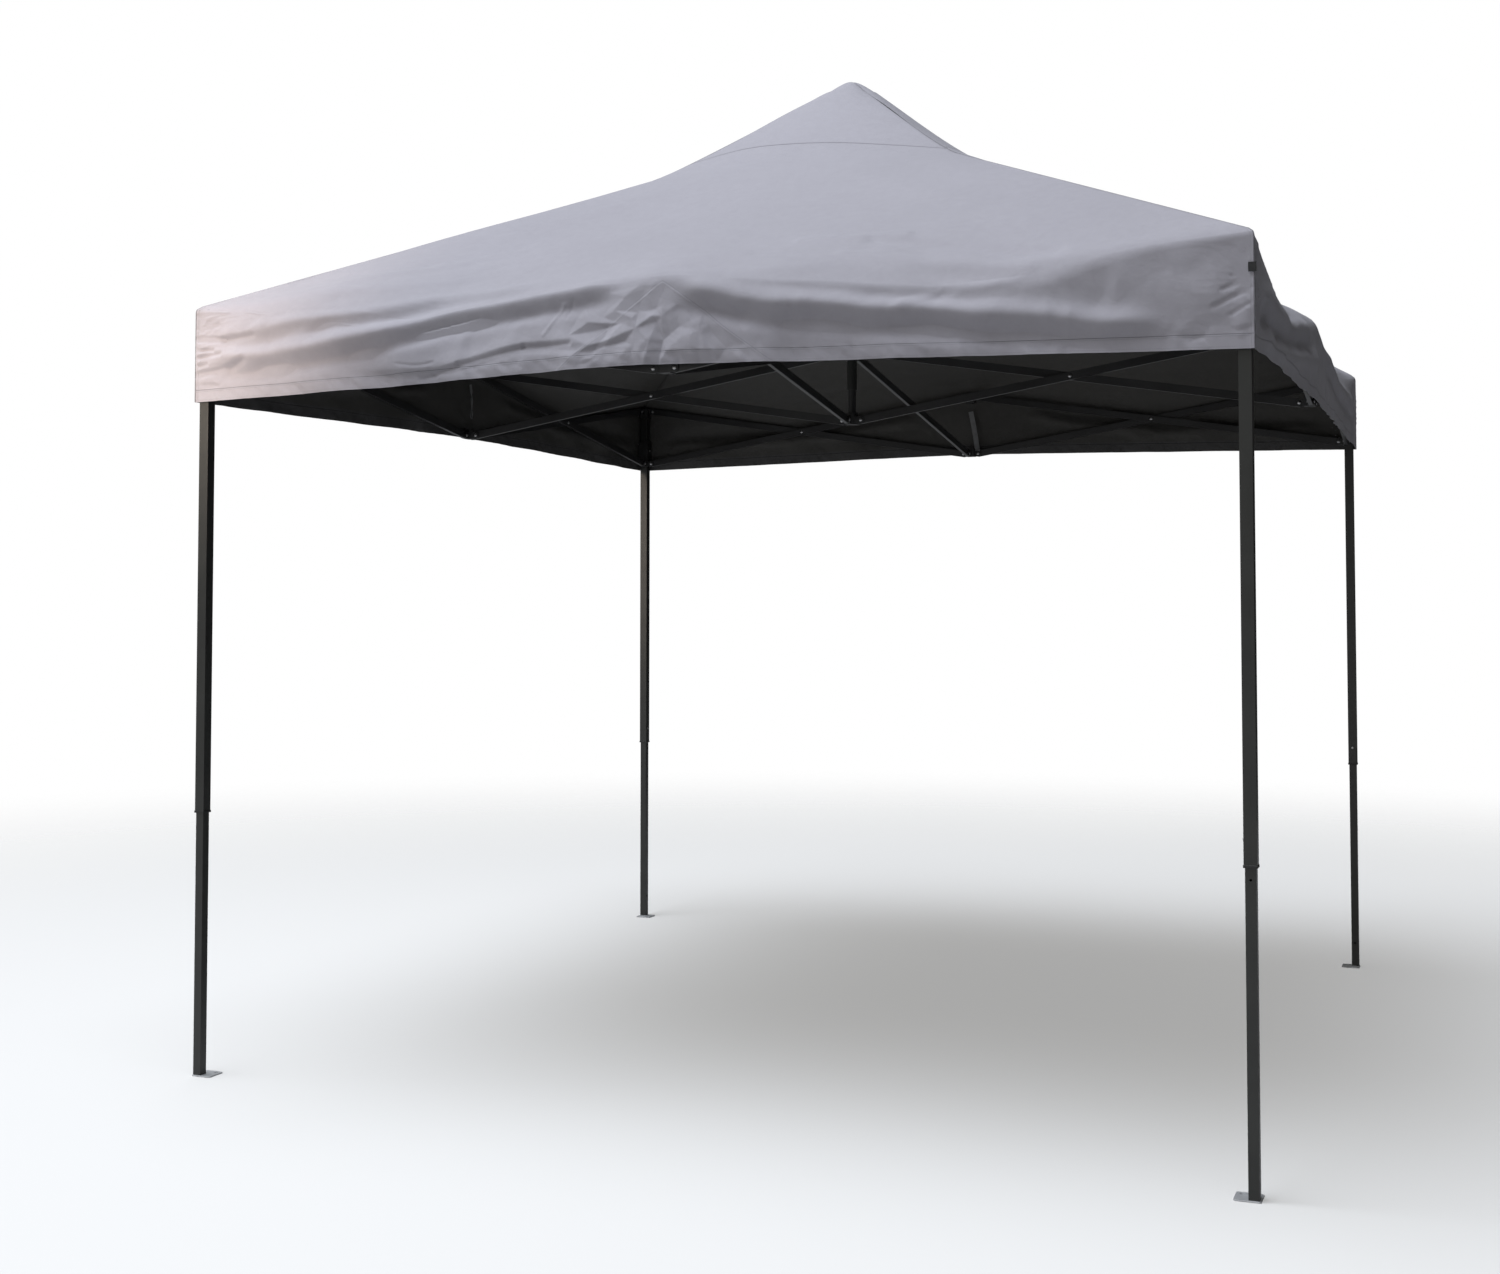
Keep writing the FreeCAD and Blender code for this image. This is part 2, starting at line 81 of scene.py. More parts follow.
def turned(points, quarter):
    """Front-side coordinates (x, outwards, z) placed on a side of the frame."""
    x, out, z = points[..., 0], points[..., 1], points[..., 2]
    px, py = [(x, -out), (out, x), (-x, out), (-out, -x)][quarter]
    return np.stack([px, py, z], -1)


def smooth(t):
    t = np.clip(t, 0, 1)
    return t * t * (3 - 2 * t)


def curve(knots, x):
    """A smooth curve through knots (x, value)."""
    kx, ky = np.array(sorted(knots), float).T
    slope = np.gradient(ky, kx)
    i = np.clip(np.searchsorted(kx, x) - 1, 0, len(kx) - 2)
    d = kx[i + 1] - kx[i]
    t = np.clip((x - kx[i]) / d, 0, 1)
    low = (1 + 2 * t) * (1 - t) ** 2 * ky[i] + t * (1 - t) ** 2 * d * slope[i]
    high = t * t * (3 - 2 * t) * ky[i + 1] + t * t * (t - 1) * d * slope[i + 1]
    return low + high


def waves(x, y, seed, length, count=7, stretch=1.0):
    """Soft irregular waves of about that length, with a spread of about 1."""
    rng = np.random.default_rng(seed)
    total = np.zeros(np.broadcast(x, y).shape)
    for _ in range(count):
        angle, phase = rng.uniform(0, 2 * np.pi, 2)
        k = 2 * np.pi / (length * rng.uniform(0.6, 1.5))
        total = total + np.sin(k * (x * np.cos(angle) / stretch + y * np.sin(angle)) + phase)
    return total / math.sqrt(count / 2)


def creases(x, y, seed, length, count=5):
    """Crumpled cloth: warped waves with sharp crests."""
    rng = np.random.default_rng(seed)
    wx = x + 0.25 * length * waves(x, y, seed + 50, 1.7 * length)
    wy = y + 0.25 * length * waves(x, y, seed + 60, 1.7 * length)
    total = np.zeros(np.broadcast(x, y).shape)
    for _ in range(count):
        angle, phase = rng.uniform(0, 2 * np.pi, 2)
        k = 2 * np.pi / (length * rng.uniform(0.7, 1.4))
        total = total + np.arcsin(0.985 * np.sin(k * (wx * np.cos(angle) + wy * np.sin(angle)) + phase))
    return total / math.sqrt(count)


# How far each eave dips (x, dip) and how widely it is rounded (x, half length of the round),
# from the side's left corner to its right corner.
DIP = {
    "front": [(-1.475, 0), (-1.3, 0.035), (-1.12, 0.060), (-0.84, 0.070), (-0.5, 0.055), (-0.235, 0.025),
              (0, 0), (0.25, 0.030), (0.5, 0.060), (0.79, 0.075), (1.03, 0.045), (1.2, 0.020), (1.475, 0)],
    "right": [(-1.475, 0), (-1.305, 0.055), (-1.2, 0.070), (-0.735, 0.080), (-0.3, 0.045), (0, 0.010),
              (0.3, 0.028), (0.735, 0.050), (1.2, 0.030), (1.475, 0)],
    "back": [(-1.475, 0), (-1.2, 0.028), (-0.75, 0.060), (-0.3, 0.030), (0, 0.002), (0.35, 0.036),
             (0.8, 0.066), (1.2, 0.030), (1.475, 0)],
    "left": [(-1.475, 0), (-1.25, 0.026), (-0.8, 0.062), (-0.3, 0.034), (0, 0.002), (0.3, 0.028),
             (0.7, 0.058), (1.15, 0.036), (1.475, 0)],
}
ROUND = {
    "front": [(-1.475, 0.014), (-1.3, 0.06), (-1.12, 0.12), (-0.84, 0.12), (-0.5, 0.10), (-0.235, 0.06),
              (0, 0.03), (0.25, 0.06), (0.5, 0.10), (0.79, 0.11), (1.03, 0.05), (1.2, 0.03), (1.475, 0.014)],
    "right": [(-1.475, 0.014), (-1.3, 0.05), (-1.1, 0.09), (-0.735, 0.11), (-0.3, 0.06), (0, 0.03),
              (0.3, 0.05), (0.735, 0.09), (1.2, 0.05), (1.475, 0.014)],
    "back": [(-1.475, 0.014), (-1.2, 0.05), (-0.75, 0.10), (-0.3, 0.06), (0, 0.03), (0.35, 0.06),
             (0.8, 0.10), (1.2, 0.05), (1.475, 0.014)],
    "left": [(-1.475, 0.014), (-1.2, 0.05), (-0.75, 0.10), (-0.3, 0.06), (0, 0.03), (0.35, 0.06),
             (0.8, 0.10), (1.2, 0.05), (1.475, 0.014)],
}
HEM_RISE = {"front": 0.033, "right": 0.024, "back": 0.026, "left": 0.022}
SEED = {"front": 3, "right": 17, "back": 29, "left": 41}
# Folds of slack cloth along an eave: crest (x, distance below the level of the corners), height,
# half width above the crest, half width below it, depth of the tuck under it.
FOLDS = {
    "front": [
        ([(0.00, 0.028), (0.10, 0.048), (0.197, 0.069), (0.446, 0.1035), (0.686, 0.1355), (0.916, 0.159),
          (1.10, 0.185), (1.30, 0.205)], 0.021, 0.030, 0.026, 0.013),
        ([(0.12, 0.014), (0.26, 0.023), (0.567, 0.051), (0.80, 0.074), (1.00, 0.070)],
         0.006, 0.020, 0.022, 0.002),
        ([(-1.455, 0.080), (-1.29, 0.078), (-1.16, 0.056), (-0.95, 0.024), (-0.76, -0.002), (-0.60, -0.018),
          (-0.36, -0.025)], 0.009, 0.026, 0.020, 0.003),
        ([(-1.45, 0.142), (-1.27, 0.146), (-1.12, 0.134), (-0.95, 0.108), (-0.76, 0.082), (-0.60, 0.056),
          (-0.45, 0.044), (-0.30, 0.030), (-0.10, 0.012)], 0.019, 0.030, 0.024, 0.010),
        ([(-0.95, 0.190), (-0.646, 0.212), (-0.358, 0.162), (-0.15, 0.176)], 0.006, 0.030, 0.010, 0.002),
        ([(0.55, 0.235), (0.95, 0.225), (1.40, 0.213)], 0.003, 0.030, 0.020, 0.0),
    ],
    "right": [
        ([(-1.46, 0.130), (-1.2, 0.125), (-0.9, 0.120), (-0.5, 0.085), (-0.2, 0.05)],
         0.012, 0.034, 0.026, 0.010),
        ([(-1.40, 0.235), (-0.9, 0.205), (-0.45, 0.165), (0.0, 0.12)], 0.014, 0.036, 0.040, 0.0),
        ([(0.25, 0.06), (0.75, 0.11), (1.1, 0.12), (1.40, 0.13)], 0.010, 0.026, 0.022, 0.005),
    ],
    "back": [
        ([(-1.4, 0.15), (-1.0, 0.145), (-0.7, 0.13), (-0.2, 0.05)], 0.014, 0.030, 0.022, 0.008),
        ([(0.2, 0.05), (0.75, 0.115), (1.1, 0.12), (1.40, 0.14)], 0.013, 0.030, 0.022, 0.008),
    ],
    "left": [
        ([(-1.4, 0.13), (-1.0, 0.13), (-0.7, 0.12), (-0.2, 0.05)], 0.012, 0.028, 0.022, 0.006),
        ([(0.2, 0.05), (0.7, 0.10), (1.05, 0.115), (1.40, 0.13)], 0.014, 0.030, 0.022, 0.008),
    ],
}
# Crumpled cloth on the front's middle bracket: corners of its flat facets (x, distance down from the
# eave, height), and the creases between them as pairs of corners.
FACETS = [
    (-0.305, 0.094, 0), (-0.226, 0.058, 0), (-0.152, 0.027, 0), (-0.064, 0.023, 0), (0.015, 0.033, 0),
    (0.111, 0.065, 0), (0.207, 0.111, 0), (0.278, 0.156, 0), (0.285, 0.223, 0), (0.278, 0.33, 0),
    (-0.034, 0.33, 0), (-0.354, 0.33, 0), (-0.398, 0.16, 0), (-0.364, 0.114, 0), (-0.101, 0.046, 0.0025),
    (-0.15, 0.069, -0.0015), (-0.047, 0.035, -0.001), (-0.064, 0.095, -0.0025), (-0.13, 0.079, 0.0015),
    (-0.162, 0.091, 0), (-0.202, 0.099, 0.0045), (-0.256, 0.128, -0.0025), (-0.15, 0.122, -0.003),
    (-0.108, 0.117, 0), (-0.076, 0.109, 0.003), (-0.022, 0.11, 0.0035), (-0.01, 0.126, -0.0015),
    (-0.138, 0.157, 0.004), (-0.093, 0.168, -0.003), (-0.064, 0.138, 0.003), (-0.143, 0.171, -0.002),
    (-0.192, 0.164, 0.0025), (-0.253, 0.148, -0.0025), (-0.184, 0.176, -0.001), (-0.243, 0.182, 0.0005),
    (-0.069, 0.183, 0.001), (-0.022, 0.174, 0.0055), (0.01, 0.175, -0.003), (0.002, 0.233, -0.004),
    (-0.034, 0.231, 0.0025), (-0.064, 0.229, -0.003), (-0.101, 0.208, 0.002), (0.064, 0.168, 0.003),
    (-0.015, 0.092, -0.0015), (0.005, 0.113, 0.003), (0.054, 0.138, -0.003), (0.111, 0.147, 0.002),
    (0.145, 0.151, -0.003), (0.184, 0.185, -0.002), (0.175, 0.129, 0.0025), (0.238, 0.171, -0.0015),
    (0.079, 0.194, 0.0045), (0.128, 0.191, 0.004), (0.039, 0.233, -0.0015), (0.152, 0.225, -0.003),
    (0.022, 0.202, 0.0025), (0.224, 0.204, 0.001), (0.111, 0.106, 0.001), (0.047, 0.079, 0.0015),
    (-0.002, 0.064, -0.001),
]
FACET_EDGES = [
    (14, 15), (14, 16), (17, 24), (24, 23), (20, 21), (20, 23), (21, 22), (22, 23), (23, 27), (17, 29),
    (29, 27), (25, 26), (17, 25), (36, 37), (37, 42), (37, 38), (36, 39), (27, 28), (28, 35), (35, 36),
    (30, 28), (31, 30), (32, 31), (34, 33), (33, 35), (41, 40), (40, 39), (43, 44), (44, 45), (45, 46),
    (46, 47), (47, 48), (47, 49), (49, 50), (53, 51), (51, 46), (51, 52), (52, 48), (48, 50),
]
# Single creases of the front: ends (x, distance down from the eave), half width, height.
CREASES = [
    ((-0.718, 0.176), (-0.592, 0.160), 0.012, -0.0032), ((-0.592, 0.160), (-0.391, 0.140), 0.012, -0.0042),
    ((-0.391, 0.140), (-0.251, 0.148), 0.012, -0.0036), ((-0.792, 0.140), (-0.676, 0.138), 0.007, -0.0012),
    ((-0.282, 0.038), (-0.329, 0.113), 0.010, 0.0014), ((-0.257, 0.034), (-0.271, 0.075), 0.010, -0.0012),
]
# Puckers that run in from the front's corners.
PUCKERS = [
    ((-1.468, 0.022), (-1.407, 0.012), 0.008, -0.0025), ((-1.468, 0.060), (-1.395, 0.048), 0.009, -0.0030),
    ((-1.468, 0.088), (-1.372, 0.091), 0.012, -0.0050), ((-1.372, 0.091), (-1.278, 0.080), 0.014, -0.0030),
    ((-1.468, 0.118), (-1.410, 0.120), 0.008, -0.0028), ((-1.468, 0.142), (-1.380, 0.130), 0.009, -0.0030),
    ((-1.468, 0.190), (-1.370, 0.178), 0.013, -0.0050), ((-1.370, 0.178), (-1.300, 0.150), 0.016, -0.0030),
    ((-1.468, 0.222), (-1.400, 0.220), 0.008, -0.0028), ((-1.468, 0.165), (-1.430, 0.160), 0.007, -0.0020),
    ((1.468, 0.105), (1.405, 0.128), 0.009, -0.0016), ((1.468, 0.132), (1.385, 0.165), 0.010, -0.0018),
    ((1.468, 0.090), (1.425, 0.100), 0.007, -0.0014), ((1.468, 0.222), (1.340, 0.232), 0.010, -0.0014),
    ((1.468, 0.165), (1.420, 0.188), 0.008, -0.0012),
]
# Soft ridges and hollows of the roof cloth: (x, reach) to (x, reach), half width, height.
BANDS = {
    "front": [
        ((0.30, 1.255), (0.58, 1.248), 0.020, 0.006),
        ((0.50, 1.275), (1.00, 1.405), 0.022, -0.007),
        ((0.45, 1.350), (0.95, 1.455), 0.022, 0.005),
        ((0.20, 1.330), (0.50, 1.330), 0.024, -0.004),
        ((-1.24, 1.288), (-0.86, 1.222), 0.032, -0.0034),
        ((-0.86, 1.222), (-0.62, 1.110), 0.032, -0.0030),
        ((-1.02, 1.360), (-0.57, 1.148), 0.026, -0.0030),
        ((-1.03, 1.430), (-0.68, 1.336), 0.022, -0.0024),
        ((-0.91, 1.386), (-0.60, 1.282), 0.024, 0.0024),
        ((-1.25, 1.404), (-0.75, 1.214), 0.022, 0.0022),
        ((0.25, 0.70), (0.70, 1.05), 0.060, 0.003),
        ((-0.70, 1.00), (-0.20, 0.60), 0.060, 0.003),
    ],
    "right": [
        ((-1.10, 1.34), (-0.40, 1.30), 0.025, 0.005),
        ((-0.90, 1.42), (-0.50, 1.40), 0.020, -0.005),
        ((0.30, 1.30), (0.90, 1.38), 0.025, -0.005),
    ],
    "back": [
        ((-0.90, 1.38), (-0.35, 1.30), 0.025, 0.005),
        ((0.35, 1.32), (0.95, 1.40), 0.025, -0.006),
        ((0.40, 1.26), (0.80, 1.33), 0.022, 0.005),
    ],
    "left": [
        ((-0.95, 1.40), (-0.35, 1.31), 0.025, -0.006),
        ((0.35, 1.30), (0.85, 1.37), 0.025, 0.005),
    ],
}
# Where the peak panel is sewn to the roof: (x, distance from the mast square to the side).
CAP_SEAM = {
    "front": [(-0.47, 0.404), (-0.41, 0.404), (-0.23, 0.393), (-0.05, 0.413), (0.126, 0.434),
              (0.297, 0.455), (0.402, 0.459), (0.47, 0.459)],
    "right": [(-0.47, 0.459), (-0.2, 0.440), (0.1, 0.425), (0.47, 0.430)],
    "back": [(-0.47, 0.430), (-0.2, 0.412), (0.1, 0.408), (0.47, 0.420)],
    "left": [(-0.47, 0.420), (-0.2, 0.400), (0.1, 0.398), (0.47, 0.404)],
}
# How strongly the hanging cloth of each side waves.
WAVY = {"front": 1.0, "right": 0.40, "back": 0.9, "left": 0.8}


# u runs from -1 to 1 along a side, and a down the cloth from the eave, so a is negative on the roof.

def roof_rise(reach, u):
    """Height of the plain roof at a distance from the mast, square to the side."""
    near = np.exp(-((reach / 0.1) ** 2))
    rounder = reach * (1 + near * ((1 + np.abs(u) ** 2.5) ** 0.4 - 1))
    q = np.hypot(rounder, 0.035)
    panel = PANEL_RISE * np.maximum(0, 1 - q / PANEL_REACH) ** 1.31
    belly = BELLY_RISE * np.sin(np.pi * np.clip(reach / BELLY_REACH, 0, 1)) * (1 - u**2)
    return SLOPE_FOOT + SLOPE * (SLOPE_REACH - q) + panel + belly


def segment_distance(x, y, start, end):
    (x0, y0), (x1, y1) = start, end
    dx, dy = x1 - x0, y1 - y0
    t = np.clip(((x - x0) * dx + (y - y0) * dy) / (dx * dx + dy * dy), 0, 1)
    return np.hypot(x - x0 - t * dx, y - y0 - t * dy)


def facets(x, a):
    """Height of the crumpled cloth: flat triangles between the points of FACETS, and 0 outside."""
    flat = [Vector(p[:2]) for p in FACETS]
    places, _, triangles, _, _, _ = geometry.delaunay_2d_cdt(flat, FACET_EDGES, [], 0, 1e-6)
    known = np.array(FACETS)
    total = np.zeros(x.shape)
    near = (a > 0) & (np.abs(x) < 0.42)
    px, pa = x[near], a[near]
    found = np.zeros(px.shape)
    for triangle in triangles:
        corners = np.array([places[i] for i in triangle])
        heights = [known[np.hypot(*(known[:, :2] - c).T).argmin(), 2] for c in corners]
        (x0, y0), (x1, y1), (x2, y2) = corners
        area = (x1 - x0) * (y2 - y0) - (x2 - x0) * (y1 - y0)
        w1 = ((px - x0) * (y2 - y0) - (x2 - x0) * (pa - y0)) / area
        w2 = ((x1 - x0) * (pa - y0) - (px - x0) * (y1 - y0)) / area
        inside = (w1 >= 0) & (w2 >= 0) & (w1 + w2 <= 1)
        height = heights[0] + w1 * (heights[1] - heights[0]) + w2 * (heights[2] - heights[0])
        found[inside] = height[inside]
    total[near] = found
    return total


def patch_inside(side, x, down):
    """Signed distance into the stitched triangle in the middle of the front valance."""
    if side != "front":
        return np.full(np.broadcast(x, down).shape, -1.0)
    apex, left, right = (0.0, 0.018), (-0.32, 0.24), (0.35, 0.24)
    inside = []
    for (x0, y0), sign in ((left, 1), (right, -1)):
        dx, dy = x0 - apex[0], y0 - apex[1]
        inside.append(sign * ((x - apex[0]) * dy - (down - apex[1]) * dx) / math.hypot(dx, dy))
    return np.minimum(*inside)


def bulge(side, x, a, u, length, dip):
    """How far the cloth stands off its plain shape, along the normal."""
    seed = SEED[side]
    reach = HALF + COS * np.minimum(a, 0)
    down = np.maximum(a, 0)
    off = np.zeros(x.shape)
    for knots, high, above, below, tuck in FOLDS[side]:
        ends = min(k[0] for k in knots), max(k[0] for k in knots)
        d = a + dip - curve(knots, x) - 0.003 * waves(x, 0 * x, seed + 5, 0.35)
        live = smooth((x - ends[0]) / 0.13) * smooth((ends[1] - x) / 0.13)
        rise = np.exp(-((d / np.where(d < 0, above, below)) ** 2))
        off += live * (high * rise - tuck * np.exp(-(((d - 2.1 * below) / (0.8 * below)) ** 2)))
    run = HALF + COS * a
    for start, end, width, high in BANDS[side]:
        off += high * np.exp(-((segment_distance(x, run, start, end) / width) ** 2))
    if side == "front":
        off += FACET_GAIN * facets(x, a)
        for lines, gain in ((CREASES, CREASE_GAIN), (PUCKERS, PUCKER_GAIN)):
            for start, end, width, high in lines:
                away = segment_distance(x, a, start, end) / width
                off += gain * high * np.maximum(0, 1 - away) ** 1.1 * (a > 0)

    # the roof's soft waves
    roof = smooth(-a / 0.10)
    off += roof * 0.0022 * waves(x, reach, seed, 0.55, stretch=1.6)
    off += smooth(1 + a / 0.50) * smooth(-a / 0.06) * 0.0018 * waves(x, reach, seed + 1, 0.13, stretch=2.6)

    # the hanging cloth's waves and crumples, and the stiffer patch in the front's middle
    hang = smooth(down / 0.05)
    low = smooth(down / length)
    off += WAVY[side] * hang * 0.0024 * waves(x, down, seed + 2, 0.22) * (0.5 + low)
    off += WAVY[side] * hang * 0.0009 * creases(x, down, seed + 3, 0.10)
    off += WAVY[side] * low * 0.0032 * waves(x, 0.25 * down, seed + 4, 0.30)
    off += WAVY[side] * smooth((down - length + 0.045) / 0.02) * 0.0009 * waves(x, down, seed + 6, 0.045)
    if side == "front":
        off += MIDDLE_BULGE * low * np.exp(-(((x + 0.22) / 0.36) ** 2))
    patch = patch_inside(side, x, down)
    off += hang * smooth(patch / 0.002) * 0.0012
    off += smooth(down / 0.03) * smooth(patch / 0.05) * 0.0005 * creases(x, down, seed + 7, 0.060)
    if side == "right":  # pleats
        pleat = np.exp(-(((x - 0.45) / 0.35) ** 2)) * smooth((down - 0.06) / 0.10)
        off += pleat * 0.0016 * waves(x, 0.12 * down, seed + 8, 0.11)

    # fine puckers along the corner seams
    corner = (1 - np.abs(u)) * HALF
    strength = 0.005 if side == "front" else 0.003
    ripple = np.sin(2 * np.pi * (down + 0.28 * corner + 0.01 * waves(corner, down, seed + 9, 0.12)) / 0.042)
    puckers = 1.0 - 2.0 * np.abs(ripple) ** 0.7
    window = smooth(down / 0.03) * smooth((length - down) / 0.05)
    weight = np.where(u < 0, *((0.3, 0.12) if side == "front" else (0.9, 0.45)))
    off += weight * strength * puckers * window * np.exp(-corner / 0.085)
    return off * smooth(corner / 0.012)


def bar_top(x):
    """Lowest height at which the cloth clears the side truss at x."""
    along = np.abs(x)
    fall = np.clip(np.minimum(LEG_PIN - along, along - MID_PIN), 0, None)
    return BAR_TOP - BAR_FALL * fall + BAR_CLEAR


def plain_cover(u, a, dip, half_round):
    """Outward distance and height of the cover's plain shape."""
    reach = HALF + COS * np.minimum(a, 0)
    ramp = np.clip(1 + np.minimum(a, 0) / DIP_REACH, 0, 1) ** 2
    top = roof_rise(np.full(np.broadcast(u, a).shape, HALF), u + 0 * a)
    z = np.where(a < 0, roof_rise(reach, u), top - a) - dip * ramp
    k = np.maximum(0, half_round - np.abs(a)) ** 2 / (4 * half_round)
    return reach - COS * k, z - EAVE_DROP * k


def bar_shortfall(u, dip, half_round):
    """How far each column of the plain cover lies too low over its truss."""
    a = np.linspace(-0.06, 0.12, 120)[:, None]
    out, z = plain_cover(u, a, dip, half_round)
    short = np.where((out > BAR_FACES[0]) & (out < BAR_FACES[1]), bar_top(u * out) + 0.001 - z, 0)
    return np.maximum(short.max(0, keepdims=True), 0)


def column_places(side, columns):
    """Even steps across a side, but twice as close over the front's crumpled middle."""
    if side != "front":
        return np.linspace(-1, 1, columns)
    fine = np.linspace(-1, 1, 4001)
    density = 1 + 1.4 * smooth((fine + 0.34) / 0.08) * smooth((0.24 - fine) / 0.08)
    total = np.concatenate([[0], np.cumsum((density[1:] + density[:-1]) / 2)])
    places = np.interp(np.linspace(0, total[-1], columns), total, fine)
    places[0], places[-1] = -1, 1
    return places


def blurred(values, x, reach=0.06):
    """Values averaged over their neighbours within about that distance."""
    weight = np.exp(-((2 * (x[:, None] - x[None, :]) / reach) ** 2))
    return (weight * values[None, :]).sum(1) / weight.sum(1)


def soften(values, x, reach=0.05):
    """At least those values everywhere, with soft flanks about that long."""
    apart = np.abs(x[:, None] - x[None, :])
    return blurred(np.where(apart < reach, values[None, :], 0).max(1), x, reach)


def cover_side(side, columns, roof_rows, hang_rows):
    """One side of the cover, from near the mast down to the hem, as a grid of points."""
    u = column_places(side, columns)[None, :]
    top = (PEAK_PATCH - HALF) / COS
    share = np.linspace(0, 1, roof_rows + 1)
    a_roof = top * (1 - share**0.72)
    a_roof[-1] = 0
    dip = curve(DIP[side], u * HALF)
    half_round = np.maximum(curve(ROUND[side], u * HALF), 0.012)
    for _ in range(12):
        short = bar_shortfall(u, dip, half_round)
        dip = np.maximum(dip - short, 0)
        half_round = np.where((short > 0) & (dip <= 0), np.maximum(0.85 * half_round, 0.012), half_round)
    inner = smooth((1 - np.abs(u)) * HALF / 0.06)
    dip += inner * (blurred(dip[0], HALF * u[0]) - dip)
    half_round += inner * (blurred(half_round[0], HALF * u[0]) - half_round)
    hem = HEM + HEM_RISE[side] * (1 - np.sqrt(u**2 + HEM_SOFT)) / (1 - math.sqrt(HEM_SOFT))
    length = EAVE - dip - np.maximum(hem, HEM)
    steps = np.linspace(0, 1, hang_rows + 1)[1:] ** 1.15
    a = np.concatenate([np.repeat(a_roof[:, None], columns, 1), steps[:, None] * length], 0)
    u = np.repeat(u, len(a), 0)
    dip, half_round, length = (np.repeat(v, len(a), 0) for v in (dip, half_round, length))
    reach = HALF + COS * np.minimum(a, 0)
    out, z = plain_cover(u, a, dip, half_round)
    base = np.stack([u * out, out, z], -1)
    stand = bulge(side, u * out, a, u, length, dip)
    points = base + grid_normals(base) * stand[..., None]
    edge = smooth((1 - np.abs(u)) * HALF / 0.012)[..., None]
    points = base * (1 - edge) + points * edge

    # the cloth rests on the trusses and hangs outside them, and outside the leg brackets and sliders
    x, out, z = points[..., 0], points[..., 1], points[..., 2]
    bar = bar_top(x)
    over = (out > BAR_FACES[0]) & (out < BAR_FACES[1]) & (a <= 0.004)
    lack = np.where(over, bar - z, 0).max(0)
    lift = soften(lack, x[0])
    z = z + lift * smooth((a + 0.20) / 0.14) * smooth((0.08 - a) / 0.07)
    points[..., 2] = np.where(over, np.maximum(z, bar), z)
    inmost = BAR_FACES[1] + 0.002 + 0.0065 * smooth((np.abs(x) - 1.34) / 0.04)
    outside = (a > 0.004) & (z < bar)
    points[..., 1] = np.where(outside, np.maximum(out, inmost), out)
    hips = (1 - np.abs(u)) * reach * HIP_SQUARE
    cap = reach - curve(CAP_SEAM[side], np.clip(u * out, -0.47, 0.47))
    return {
        "points": points,
        "normals": grid_normals(points),
        "uv": np.stack([u * reach, a], -1),
        "hem": length - a,
        "hip": hips,
        "cap": cap,
        "patch": patch_inside(side, u * out, np.maximum(a, 0)),
        "split": roof_rows,
    }


def grid_normals(points):
    rows = np.gradient(points, axis=0)
    across = np.gradient(points, axis=1)
    n = np.cross(across, rows)
    return n / np.maximum(np.linalg.norm(n, axis=-1, keepdims=True), 1e-12)


def new_object(name, vertices, faces, materials, kinds=None):
    mesh = bpy.data.meshes.new(name)
    mesh.from_pydata([tuple(v) for v in vertices], [], [tuple(int(i) for i in f) for f in faces])
    obj = bpy.data.objects.new(name, mesh)
    bpy.context.scene.collection.objects.link(obj)
    for material in materials:
        mesh.materials.append(material)
    if kinds is not None:
        mesh.polygons.foreach_set("material_index", np.array(kinds, np.int32))
    mesh.update()
    return obj


def dress(obj, uv, fields, normals):
    """Smooth shading, UV map, distance fields and normals, the same for a sheet's two layers."""
    mesh = obj.data
    mesh.polygons.foreach_set("use_smooth", np.ones(len(mesh.polygons), bool))
    corner = np.empty(len(mesh.loops), np.int32)
    mesh.loops.foreach_get("vertex_index", corner)
    uv = np.tile(uv, (2, 1))[corner].ravel().astype(np.float32)
    mesh.uv_layers.new(name="cloth").data.foreach_set("uv", uv)
    for key, values in fields.items():
        values = np.tile(values, 2).astype(np.float32)
        mesh.attributes.new(key, "FLOAT", "POINT").data.foreach_set("value", values)
    mesh.normals_split_custom_set_from_vertices(np.concatenate([normals, -normals]).astype(np.float32))


def cloth_piece(name, grid, rows, quarter, materials):
    """A closed thin sheet: outer layer, inner layer and rim."""
    points = turned(grid["points"][rows], quarter)
    normals = turned(grid["normals"][rows], quarter)
    nr, nc = points.shape[:2]
    outer = points.reshape(-1, 3)
    n = normals.reshape(-1, 3)
    vertices = np.concatenate([outer, outer - n * CLOTH])
    ids = np.arange(nr * nc).reshape(nr, nc)
    quads = np.stack([ids[:-1, :-1], ids[1:, :-1], ids[1:, 1:], ids[:-1, 1:]], -1).reshape(-1, 4)
    inner = quads[:, ::-1] + nr * nc
    ring = np.concatenate([ids[0, :-1], ids[:-1, -1], ids[-1, :0:-1], ids[:0:-1, 0]])
    after = np.roll(ring, -1)
    rim = np.stack([ring, after, after + nr * nc, ring + nr * nc], -1)
    faces = np.concatenate([quads, inner, rim])
    kinds = np.concatenate([np.zeros(len(quads)), np.ones(len(inner)), np.zeros(len(rim))])
    obj = new_object(name, vertices, faces, materials, kinds)
    fields = {key: grid[key][rows].reshape(-1) for key in ("hem", "hip", "cap", "patch")}
    dress(obj, grid["uv"][rows].reshape(-1, 2), fields, n)
    return obj


# ---------------------------------------------------------------- materials

def add_node(tree, kind, links=None, values=None, **settings):
    node = tree.nodes.new(kind)
    for key, value in settings.items():
        setattr(node, key, value)
    for key, value in (values or {}).items():
        node.inputs[key].default_value = value
    for key, source in (links or {}).items():
        tree.links.new(source, node.inputs[key])
    return node


